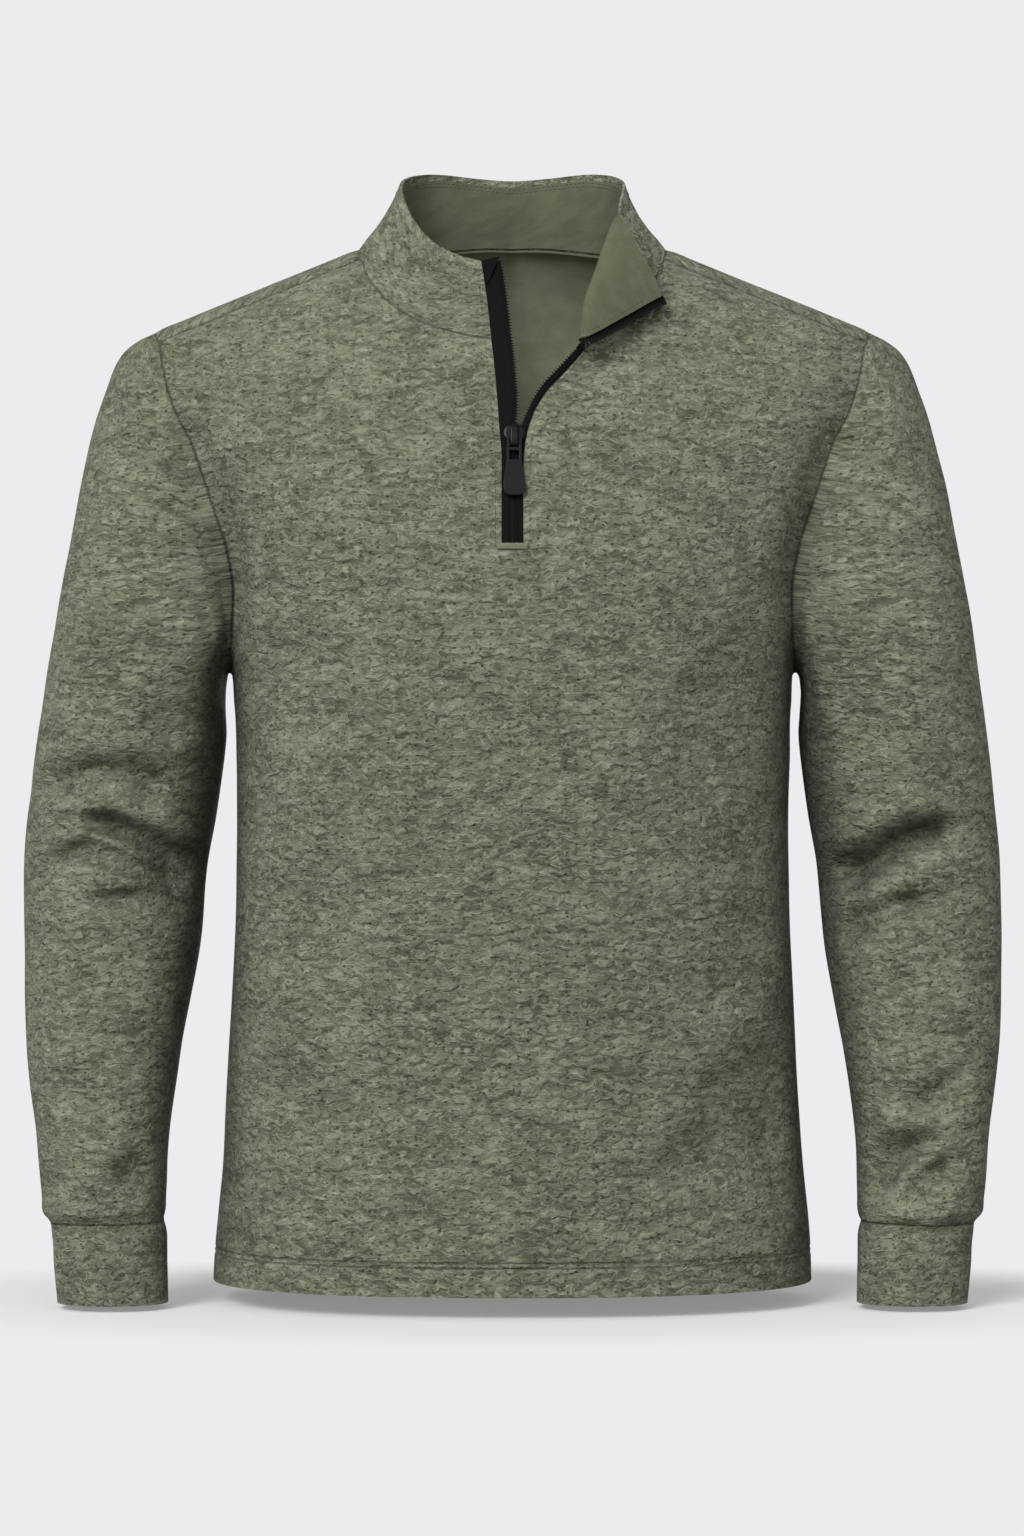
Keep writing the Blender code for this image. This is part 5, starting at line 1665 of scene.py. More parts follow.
class Sleeves:
    """Both sleeves and their cuffs, each grown out of its armhole."""

    power: float = 2.2
    cap_reach: float = 0.30
    settled: float = 0.6
    grain_radius: float = 0.0615
    grain_slant: float = 1.04

    def __init__(self, skin: Skin, armhole: Array) -> None:
        """Builds the sleeves and cuffs on the skin."""
        rings, even = self.rings(armhole)
        places = np.linspace(0, 1, FINE.cuff_rings + 1)
        cuff = self.ovals(CUFF, places, np.array([even] * len(places)))
        cuff[0] = rings[-1]
        self.numbers: dict[str, NDArray] = {}
        for side in Side:
            turn = mirrored if side is Side.LEFT else np.array
            for name, grid in (("sleeve_", rings), ("cuff_", cuff)):
                closed = np.concatenate([grid, grid[:, :1]], axis=1)
                grain = self.grain(closed) * [side.value, 1]
                panel = name + side.word
                self.numbers[panel] = skin.grid(panel, turn(closed), grain, flip=side is Side.RIGHT)

    def ovals(self, rows: Sequence[SleeveRow], places: Array, angles: Array) -> Array:
        """Ovals [ring, point, 3] through a table, at places 0..1 along it."""
        table = np.array(rows)
        outer_run = length_along(table[:, 0:2])
        middle_run = length_along((table[:, 0:2] + table[:, 2:4]) / 2)
        run = outer_run / outer_run[-1] * 0.5 + middle_run / middle_run[-1] * 0.5
        outer_x, outer_z, inner_x, inner_z, depth, mid_y = smooth(run, table, places).T
        centre = np.stack([(outer_x + inner_x) / 2, mid_y, (outer_z + inner_z) / 2], axis=-1)
        reach = np.stack([(outer_x - inner_x) / 2, 0 * depth, (outer_z - inner_z) / 2], axis=-1)
        along, aside = (raised(turn, 2 / self.power) for turn in (np.cos(angles), np.sin(angles)))
        rings = centre[:, None] + reach[:, None] * along[..., None]
        rings[..., 1] += depth[:, None] * aside
        return rings

    def grain(self, rings: Array) -> Array:
        """Distances round the sleeve, from the middle of its front, and up it."""
        rows = np.array(SLEEVE[3:] + CUFF[1:])[::-1]
        heights = (rows[:, 1] + rows[:, 3]) / 2
        middle_x = smooth(heights, (rows[:, 0] + rows[:, 2]) / 2, rings[..., 2])
        middle_y = smooth(heights, rows[:, 5], rings[..., 2])
        radii = np.minimum((rows[:, 0] - rows[:, 2]) / 2, self.grain_radius)
        radius = smooth(heights, radii, rings[..., 2])
        turn = np.arctan2(rings[..., 0] - middle_x, middle_y - rings[..., 1])
        return np.stack([radius * np.unwrap(turn, axis=1), rings[..., 2] * self.grain_slant], axis=-1)

    def first_angles(self, loop: Array) -> Array:
        """Angle of each armhole point in the first oval."""
        row = SLEEVE[0]
        outer = np.array([row.outer_x, row.mid_y, row.outer_z])
        inner = np.array([row.inner_x, row.mid_y, row.inner_z])
        reach = (outer - inner) / 2
        away = loop - (outer + inner) / 2
        cosine = raised(away @ reach / (reach @ reach), self.power / 2)
        sine = raised(away[:, 1] / row.depth, self.power / 2)
        return np.unwrap(np.arctan2(sine, cosine))

    def rings(self, loop: Array) -> tuple[Array, Array]:
        """Sleeve grid that starts on the armhole, and its settled angles."""
        places = np.linspace(0, 1, FINE.sleeve_rings + 1)
        first = self.first_angles(loop)
        turn = 2 * math.pi * np.sign(first[-1] - first[0])
        even = first[0] + turn * np.arange(len(loop)) / len(loop)
        settle = np.minimum(places / self.settled, 1.0)[:, None]
        rings = self.ovals(SLEEVE, places, first + (even - first) * settle)
        keep = ease(1 - places / self.cap_reach)
        rings += (loop - rings[0])[None] * keep[:, None, None]
        return rings, even


class Collar:
    """Stand collar with a hollow back, its right front rolled over."""

    crest_share: float = 0.82
    hollow: float = 0.0045
    roll_side = np.array([0.30, -0.95, 0.0])
    roll_handle: float = 0.0048
    roll_ends: float = 0.46
    crowding = (0.9, 1.15)
    rise_handle: float = 0.4
    lay_handle: float = 0.45

    def __init__(self, skin: Skin, closed: Array, opened: Array) -> None:
        """Builds the collar on the skin, from the left zip edge to the right one."""
        left = mirrored(self.half(closed, False))
        right = self.half(opened, True)
        self.grid = np.concatenate([left, right[::-1][1:]])
        grain = grain_of(self.grid, turned=True)
        grain[..., 0] -= grain[len(grain) // 2, :, 0]
        self.numbers = skin.grid("collar", self.grid, grain)

    def steps(self) -> tuple[Array, Array]:
        """Shares up the stand to its crest, and on from the crest to the rim."""
        stand = np.linspace(0, 1, FINE.stand_steps + 1) ** self.crowding[0]
        turn = np.linspace(0, 1, FINE.turn_steps + 1)[1:] ** self.crowding[1]
        return stand, turn

    def standing(self, base: Array, rim: Array) -> Array:
        """Column that stands up, hollow against the neck."""
        middle = (base + rim) / 2
        middle = middle + unit(middle * np.array([-1.0, -1.0, 0.0])) * self.hollow
        lower = (base + 2 * middle) / 3
        upper = (rim + 2 * middle) / 3
        stand, turn = self.steps()
        parts = np.concatenate([stand * self.crest_share, self.crest_share + (1 - self.crest_share) * turn])
        return np.array([bezier(base, lower, upper, rim, part) for part in parts])

    def rolled(self, base: Array, crest: Array, rim: Array) -> Array:
        """Column that stands up to a crest and turns over to its rim."""
        aside = unit(self.roll_side) * self.roll_handle
        rise = base + (crest - base) * self.rise_handle
        lay = rim - (rim - crest) * self.lay_handle
        stand, turn = self.steps()
        up = [bezier(base, rise, crest - aside, crest, p) for p in stand]
        over = [bezier(crest, crest + aside, lay, rim, p) for p in turn]
        return np.array(up + over)

    def half(self, bases: Array, rolled: bool) -> Array:
        """Columns from the zip to the centre back, on the right side."""
        shares = length_along(bases)
        shares = shares / shares[-1]
        rims = smooth(column(RIM, "share"), np.array(RIM)[:, 1:], shares)
        rolls = smooth(column(ROLL, "share"), np.array(ROLL)[:, 1:], shares)
        columns = []
        for share, base, rim, roll in zip(shares, bases, rims, rolls):
            stand = self.standing(base, rim)
            if rolled and share < self.roll_ends:
                turned = self.rolled(base, roll[:3], roll[3:])
                fade = np.clip((share - ROLL[-1].share) / (self.roll_ends - ROLL[-1].share), 0, 1)
                stand = turned + (stand - turned) * fade
            columns.append(stand)
        return np.array(columns)


class Garment:
    """The whole skin, pressed, and the cloth pieces cut from it."""

    panels = ("front", "back", "sleeve_left", "sleeve_right", "cuff_left", "cuff_right", "collar")
    zip_zone = ((-0.03, -0.20), (0.06, 0.06))
    calm_reach = 0.05
    facing_turn = 0.70
    shoulder_z = -0.06
    groove = (0.0007, 0.0008)
    armpit_off = (-0.004, 0.006)
    relax_rounds = 24
    shoulder_calm = 0.35
    hem_over = 0.0004
    turn_reach = 0.10
    sharp = 60.0

    def __init__(self, wardrobe: Wardrobe) -> None:
        """Builds the skin and presses its creases and seams."""
        self.wardrobe = wardrobe
        self.skin = Skin()
        self.torso = Torso(self.skin)
        self.sleeves = Sleeves(self.skin, self.torso.armhole())
        self.collar = Collar(self.skin, self.torso.neck(False), self.torso.neck(True))
        self.relax_armpits()
        pressing = Pressing(self.skin)
        pressing.creases()
        self.seam = self.skin.seam_distance(self.panels)
        pressing.unevenness(self.calm())
        pressing.seams(self.seam)
        normals, _ = self.skin.normals()
        self.skin.move(-normals * self.hem_grooves()[:, None])
        self.relax_armpits()
        self.points = np.array(self.skin.points)
        self.normals, _ = self.skin.normals()
        self.shadow = Shadow(self.skin)
        self.shade = self.shadow.at(self.points, self.normals)

    def relax_armpits(self) -> None:
        """Evens out the bunched cloth at the bottom of both armholes."""
        y, up = self.armpit_off
        for side in Side:
            centre = (side.value * CLOTH.armpit_x, y, CLOTH.armpit_z + up)
            self.skin.relax(centre, CLOTH.armpit_reach, self.relax_rounds)

    def hem_grooves(self) -> Array:
        """How deep the two stitched lines sink into the hem at every point."""
        heights = np.array(self.skin.points)[:, 2] - CLOTH.hem_z
        wide, deep = self.groove
        depth = sum(np.exp(-(((heights - line) / wide) ** 2)) for line in HEM_STITCHES)
        return np.where(self.skin.inside(Zone.BODY), depth * deep, 0.0)

    def calm(self) -> Array:
        """1 where the cloth may wave, 0 at the zip, the collar, the hem and the cuffs."""
        places = np.array(self.skin.points)
        zip_gap = places[:, ::2] - np.clip(places[:, ::2], *self.zip_zone)
        zip_gap = np.linalg.norm(zip_gap, axis=1)
        front = places[:, 1] < 0
        still = np.where(front, ease(zip_gap / self.calm_reach), 1.0)
        still *= ease((places[:, 2] - CLOTH.hem_z) / self.calm_reach)
        still *= np.where(places[:, 2] > self.shoulder_z, self.shoulder_calm, 1.0)
        for panel in ("collar", "cuff_left", "cuff_right"):
            still[self.skin.quads[panel].ravel()] = 0.0
        return still

    def depths(self, panel: str) -> Array:
        """Thickness of a panel's cloth at every point of the skin."""
        if panel == "collar":
            return np.full(len(self.points), CLOTH.collar)
        if panel.startswith("cuff"):
            return np.full(len(self.points), CLOTH.cuff)
        fold = CLOTH.hem_z + CLOTH.hem_depth + self.hem_over
        return np.where(self.points[:, 2] < fold, CLOTH.hem, CLOTH.body)

    def dress(self, name: str, wall: Wall, materials: Sequence[Material], rests_on: str) -> None:
        """Args:
            name: The node that it stands for, and the cut's name.
            wall: The wall.
            materials: Finishes outside and inside.
            rests_on: The node that carries it; not used.
        """
        form = (wall.points, wall.faces, materials, wall.grain, wall.slots, self.sharp)
        piece = mesh_piece(name + "_cloth", *form)
        for label, values in (("seam", wall.seam), ("shade", wall.shade)):
            layer = piece.data.attributes.new(label, "FLOAT", "POINT")
            layer.data.foreach_set("value", values.astype(np.float32))
        declare(piece, name, note=f"area {wall.area:.4f} m2")
        CUTS[name].declare(piece, "hung", rests_on)

    def make_panels(self) -> None:
        """Makes every knitted panel."""
        zero = np.zeros(len(self.points))
        for panel in self.panels:
            wall = wall_of(self.skin, panel, zero, self.depths(panel), self.seam)
            used = np.unique(self.skin.quads[panel])
            wall.shade[: len(used)] = self.shade[used]
            knit = self.wardrobe.body if panel in Zone.BODY.value else self.wardrobe.knit
            # Inside, the lighter inner knit paints light; the collar keeps the heather knit on both sides.
            both = (knit, knit if panel == "collar" else self.wardrobe.lining)
            self.dress(panel, wall, both, "back" if panel != "back" else "front")

    def shortened(self, line: Array, back: float) -> Array:
        """A collar column's points, squeezed to end short of the seam and of the rim."""
        run = length_along(line)
        places = CLOTH.facing_step + run * (run[-1] - CLOTH.facing_step - back) / run[-1]
        return read_along(run, line, places)

    def make_facing(self) -> None:
        """Makes the collar's smooth inner layer."""
        grid = self.points[self.collar.numbers]
        shares = np.linspace(0, 1, len(grid))
        turned = ease((shares - self.facing_turn) / self.turn_reach)
        backs = CLOTH.facing_back + (CLOTH.facing_step - CLOTH.facing_back) * turned
        grid = np.array([self.shortened(line, back) for line, back in zip(grid, backs)])
        lining, wall = wall_over(grid, CLOTH.collar + CLOTH.facing_gap, CLOTH.facing, turned=True)
        count = len(lining.points)
        seen, _ = lining.normals()
        wall.shade[count:] = self.shadow.at(wall.points[count:], -seen)
        self.dress("collar_facing", wall, (self.wardrobe.plain, self.wardrobe.plain), "collar")


# ---- sewing
@dataclass(frozen=True)
class Stitch:
    """Sizes of one row of stitches."""

    length: float = 0.0026
    gap: float = 0.0007
    radius: float = 0.00027
    rise: float = 0.00016


class StitchRow:
    """One row of thread stitches along a path on the cloth.

    Attributes:
        sides: Sides of the thread.
        form: Place along a stitch, thickness and height there, as shares.
    """

    sides = 5
    form = ((0.0, 0.45, -0.9), (0.14, 0.95, 0.2), (0.5, 1.0, 1.0), (0.86, 0.95, 0.2), (1.0, 0.45, -0.9))

    def __init__(self, path: Array, normals: Array, stitch: Stitch) -> None:
        """Keeps the path and sizes."""
        self.run = length_along(path)
        self.path = path
        self.normals = normals
        self.stitch = stitch

    def at(self, run: float) -> tuple[Array, Array]:
        """Point and normal at a length along the path."""
        return read_along(self.run, self.path, run), unit(read_along(self.run, self.normals, run))

    def build(self) -> tuple[Array, list[list[int]]]:
        """Points and faces of all the stitches."""
        size = self.stitch
        count = max(1, int((self.run[-1] - size.gap) / (size.length + size.gap)))
        pitch = self.run[-1] / count
        angles = np.arange(self.sides) * 2 * math.pi / self.sides
        points: list[Array] = []
        faces: list[list[int]] = []
        for number in range(count):
            start = number * pitch + size.gap / 2
            stop = (number + 1) * pitch - size.gap / 2
            forward = unit(self.at(stop)[0] - self.at(start)[0])
            faces += tube_faces(len(self.form), self.sides, len(points))
            for part, thick, high in self.form:
                centre, normal = self.at(start + (stop - start) * part)
                aside = unit(np.cross(forward, normal))
                centre = centre + normal * size.rise * high
                radius = size.radius * thick
                points.extend(centre + radius * (math.cos(a) * normal + math.sin(a) * aside) for a in angles)
        return np.array(points), faces


def inset_line(points: Array, normals: Array, distance: float) -> tuple[Array, Array]:
    """Line over a grid at a distance from its first column.

    Args:
        points: Grid [row, column, 3].
        normals: Normals of the grid.
        distance: How far in from the first column.

    Returns:
        One point and one normal for each row.
    """
    runs = [length_along(row) for row in points]
    places, leans = ([read_along(*pair, distance) for pair in zip(runs, grid)] for grid in (points, normals))
    return np.array(places), unit(np.array(leans))


class Sewing:
    """Every visible row of stitches.

    Attributes:
        slit_inset: Distance of the topstitching from the slit's edges.
        rim_insets: Distances of the collar's stitching from its rim.
        collar_inset: Its distance from the zip, and facing_inset the same on the facing.
        edge: Columns of the collar beside the zip that stitching may cross.
        hem_reach: Rows of the hem that stitching may cross.
        piping: Radius and sides of the piping, its distance behind the facing and up from the seam.
    """

    slit_inset = 0.0042
    rim_insets = (0.0062, 0.0084)
    collar_inset = 0.0040
    facing_inset = 0.0036
    edge = 24
    hem_reach = 20
    piping = (0.0010, 8, 0.0004, 0.0006)

    def __init__(self, garment: Garment) -> None:
        """Keeps the garment that it is sewn on."""
        self.garment = garment

    def sew(self, name: str, rows: Lines, slot: str) -> None:
        """Makes one piece of several stitch rows, given as paths with their normals."""
        points: list[Array] = []
        faces: list[list[int]] = []
        for path, normals in rows:
            found, made = StitchRow(path, normals, Stitch()).build()
            base = sum(len(p) for p in points)
            points.append(found)
            faces.extend([[n + base for n in face] for face in made])
        piece = mesh_piece(name, np.concatenate(points), faces, [self.garment.wardrobe.thread])
        declare(piece, slot, replaces=False)

    def grid(self, numbers: NDArray) -> tuple[Array, Array]:
        """Points and normals of a grid of point numbers."""
        return self.garment.points[numbers], self.garment.normals[numbers]

    def slit_rows(self) -> Lines:
        """Topstitching outside both edges of the zip slit."""
        torso = self.garment.torso
        sides = (side[torso.foot :] for side in (torso.left, torso.right))
        return [inset_line(*self.grid(side), self.slit_inset) for side in sides]

    def hem_rows(self, panel: str) -> Lines:
        """Two rows of stitches round the hem of one panel."""
        torso = self.garment.torso
        both = (torso.left, torso.right) if panel == "front" else torso.back_numbers.values()
        rows = [self.grid(numbers[: self.hem_reach].T) for numbers in both]
        return [inset_line(*row, height) for height in HEM_STITCHES for row in rows]

    def edge_line(self, points: Array, normals: Array, distance: float) -> tuple[Array, Array]:
        """Line beside the zip, up the first columns of a collar's grid."""
        points, normals = (grid[: self.edge].transpose(1, 0, 2)[:-2] for grid in (points, normals))
        return inset_line(points, normals, distance)

    def collar_rows(self) -> Lines:
        """Stitching along the collar's rim and its left zip edge."""
        points, normals = self.grid(self.garment.collar.numbers[:, ::-1])
        halves = (slice(len(points) // 2), slice(len(points) // 2, None))
        rows = [inset_line(points[half], normals[half], self.rim_insets[0]) for half in halves]
        return rows + [self.edge_line(points[:, ::-1], normals[:, ::-1], self.collar_inset)]

    def facing_rows(self) -> Lines:
        """Stitching along the facing's rim and its right zip edge."""
        points, normals = self.grid(self.garment.collar.numbers[:, ::-1])
        points = points - normals * (CLOTH.collar + CLOTH.facing_gap + CLOTH.facing)
        rows = [inset_line(points, -normals, distance) for distance in self.rim_insets]
        return rows + [self.edge_line(points[::-1, ::-1], -normals[::-1, ::-1], self.facing_inset)]

    def make(self) -> None:
        """Sews every row."""
        self.sew("slit_topstitching", self.slit_rows(), "front")
        for panel in ("front", "back"):
            self.sew(f"hem_stitching_{panel}", self.hem_rows(panel), panel)
        self.sew("collar_topstitching", self.collar_rows(), "collar")
        self.sew("facing_topstitching", self.facing_rows(), "collar_facing")
        self.neck_piping()

    def neck_piping(self) -> None:
        """Lays the bound seam along the inside of the neck, under the facing."""
        radius, sides, behind, above = self.piping
        numbers = self.garment.collar.numbers
        points, normals = self.grid(numbers[:, 0])
        up = unit(self.garment.points[numbers[:, 1]] - points)
        depth = CLOTH.collar + CLOTH.facing_gap + CLOTH.facing + behind
        shown = slice(len(points) // 5, -(len(points) // 5))
        path = (points - normals * depth + up * above)[shown]
        lean = normals[shown]
        aside = unit(np.cross(unit(np.gradient(path, axis=0)), lean))
        angles = (np.arange(sides) * 2 * math.pi / sides)[None, :, None]
        rings = path[:, None] + radius * (np.cos(angles) * lean[:, None] + np.sin(angles) * aside[:, None])
        faces = tube_faces(len(rings), sides)
        piece = mesh_piece("neck_piping", rings.reshape(-1, 3), faces, [self.garment.wardrobe.plain])
        face_outward(piece)
        declare(piece, "collar_facing", replaces=False)


# ---- zip
@dataclass(frozen=True)
class ZipSizes:
    """Sizes of the tape, its teeth and its stops."""

    edge_in: float = 0.0002
    foot_lift: float = 0.0003
    tape_top: float = 0.00045
    tape_deep: float = 0.0012
    cord_in: float = 0.0030
    cord_wide: float = 0.0012
    cord_proud: float = 0.0005
    collar_left: float = 0.0128
    collar_right: float = 0.0050
    pitch: float = 0.0021
    first_tooth: float = 0.0016
    last_tooth: float = 0.004
    tooth_back: float = 0.0015
    tooth_out: float = 0.0013
    tooth_half: float = 0.00050
    tooth_tip: float = 0.00020
    tooth_high: float = -0.00060
    tooth_low: float = 0.0015
    tip_in: float = 0.0002
    tip_thin: float = 0.0003
    stop_half: float = 0.0012
    stop_taper: float = 0.8
    stop_high: float = 0.0002


class ZipSide:
    """One tape of the zip with its teeth, up the slit and the collar's edge.

    Attributes:
        sizes: Sizes of the tape and its teeth.
        fold_length: How far the folded corner reaches down the tape, and fold_down the share it covers.
        fold_proud: How far it starts in front of the tape; fold_past and fold_tip how far it
            goes past the tape's edges at the top and at its tip.
        fold_grid: Its rows and columns, and fold_thick its thickness.
        fold_bulge: Its height at the fold, over its middle and at its free edge.
    """

    sizes = ZipSizes()
    fold_length = 0.0195
    fold_down = 0.94
    fold_proud = 0.00015
    fold_past = 0.0001
    fold_tip = 0.0010
    fold_grid = (13, 9)
    fold_thick = 0.0004
    fold_bulge = (0.0004, 0.0007, 0.0005)

    def __init__(self, garment: Garment, side: Side) -> None:
        """Finds the edge that the tape follows."""
        self.garment = garment
        self.side = side
        torso = garment.torso
        grid = torso.left if side is Side.LEFT else torso.right
        slit = grid[torso.foot :, 0]
        collar = garment.collar.numbers[0 if side is Side.LEFT else -1]
        chain = np.concatenate([slit, collar[1:]])
        self.edge = garment.points[chain]
        self.normals = garment.normals[chain]
        forward = unit(np.gradient(self.edge, axis=0))
        self.outward = unit(np.cross(forward, self.normals)) * -side.value
        heights = garment.points[slit][:, 2]
        widths = np.interp(heights, column(TAPE, "z"), column(TAPE, side.word))
        collar_width = self.sizes.collar_left if side is Side.LEFT else self.sizes.collar_right
        self.widths = np.concatenate([widths, np.full(len(collar) - 1, collar_width)])

    def profile(self, width: float) -> list[tuple[float, float]]:
        """Section of the tape: distance across and depth, outer side first."""
        s = self.sizes
        cord = width - s.cord_in
        high = s.tape_top - s.cord_proud
        return [
            (s.edge_in, s.tape_top),
            (cord / 2, s.tape_top),
            (cord, s.tape_top),
            (cord + s.cord_wide / 4, high),
            (cord + s.cord_wide * 3 / 4, high),
            (cord + s.cord_wide, s.tape_top),
            (width, s.tape_top),
            (width, s.tape_deep),
            (cord, s.tape_deep),
            (s.edge_in, s.tape_deep),
        ]

    def make_tape(self) -> None:
        """Makes the woven tape."""
        sections = []
        for edge, out, normal, width in zip(self.edge, self.outward, self.normals, self.widths):
            sections.append([edge + out * across - normal * depth for across, depth in self.profile(width)])
        rings = np.array(sections)
        rings[0] += np.array([0.0, 0.0, self.sizes.foot_lift])
        count = rings.shape[1]
        rise = length_along(self.edge)
        faces = tube_faces(len(rings), count)
        grain = []
        for low, high, width in zip(rise, rise[1:], self.widths):
            wide = [across for across, _ in self.profile(width)]
            for here, after in zip(wide, wide[1:] + wide[:1]):
                grain.append([(here, low), (after, low), (after, high), (here, high)])
        grain += [[(0.0, 0.0)] * count] * 2
        if self.side is Side.RIGHT:
            faces, grain = ([corners[::-1] for corners in every] for every in (faces, grain))
        name = f"zip_tape_{self.side.word}"
        tape = [self.garment.wardrobe.tape]
        piece = mesh_piece(name + "_weave", rings.reshape(-1, 3), faces, tape, np.concatenate(grain))
        declare(piece, name, note=f"area {np.trapz(self.widths, rise):.5f} m2, length {rise[-1]:.4f} m")
        CUTS[name].declare(piece, "stretched", "front")

    def make_teeth(self) -> None:
        """Makes the row of teeth along the tape's free edge, with a stop at its top."""
        s = self.sizes
        line = self.edge + self.outward * self.widths[:, None]
        run = length_along(line)
        start = s.first_tooth + (s.pitch / 2 if self.side is Side.RIGHT else 0.0)
        places = np.arange(start, run[-1] - s.last_tooth, s.pitch)
        teeth = [(place, s.tooth_half, s.tooth_tip, s.tooth_high) for place in places]
        teeth.append((run[-1] - s.first_tooth, s.stop_half, s.stop_half * s.stop_taper, s.stop_high))
        points: list[Array] = []
        faces: list[list[int]] = []
        for place, half, tip, high in teeth:
            centre = read_along(run, line, place)
            out, normal = (unit(read_along(run, rows, place)) for rows in (self.outward, self.normals))
            up = unit(np.cross(normal, out))
            faces += tube_faces(3, 4, len(points))
            for across, wide, front, deep in (
                (-s.tooth_back, half, high, s.tooth_low),
                (-s.edge_in, half, high, s.tooth_low),
                (s.tooth_out, tip, high - s.tip_in, s.tooth_low - s.tip_thin),
            ):
                for lift, depth in ((-wide, -front), (wide, -front), (wide, deep), (-wide, deep)):
                    points.append(centre + out * across + up * lift - normal * depth)
        name, teeth_black = f"zip_teeth_{self.side.word}", [self.garment.wardrobe.teeth]
        piece = mesh_piece(name, np.array(points), faces, teeth_black, sharp=30.0)
        face_outward(piece)
        declare(piece, f"zip_tape_{self.side.word}", replaces=False)

    def make_fold(self) -> None:
        """Makes the tape's folded-down corner at the top of the left side."""
        out, normal = self.outward[-1], self.normals[-1]
        run = length_along(self.edge)
        low = int(np.searchsorted(run, run[-1] - self.fold_length))
        front = -self.sizes.tape_top + self.fold_proud
        corner = self.edge[-1] + out * self.sizes.edge_in + normal * front
        far = self.edge[-1] + out * (self.sizes.collar_left + self.fold_past) + normal * front
        tip = self.edge[low] + self.outward[low] * self.fold_tip + self.normals[low] * front
        rows, columns = self.fold_grid
        down = np.linspace(0, self.fold_down, rows)[:, None, None]
        over = np.linspace(0, 1, columns)[None, :, None]
        grid = (corner + (tip - corner) * down) * (1 - over) + (far + (tip - far) * down) * over
        base, crown, flare = self.fold_bulge
        bulge = base + crown * np.sin(math.pi * over) * (1 - down) + flare * over
        grid = (grid + normal * bulge)[::-1]
        _, wall = wall_over(grid, 0.0, self.fold_thick)
        tape = [self.garment.wardrobe.tape]
        piece = mesh_piece("zip_tape_corner", wall.points, wall.faces, tape, wall.grain)
        declare(piece, "zip_tape_left", replaces=False)


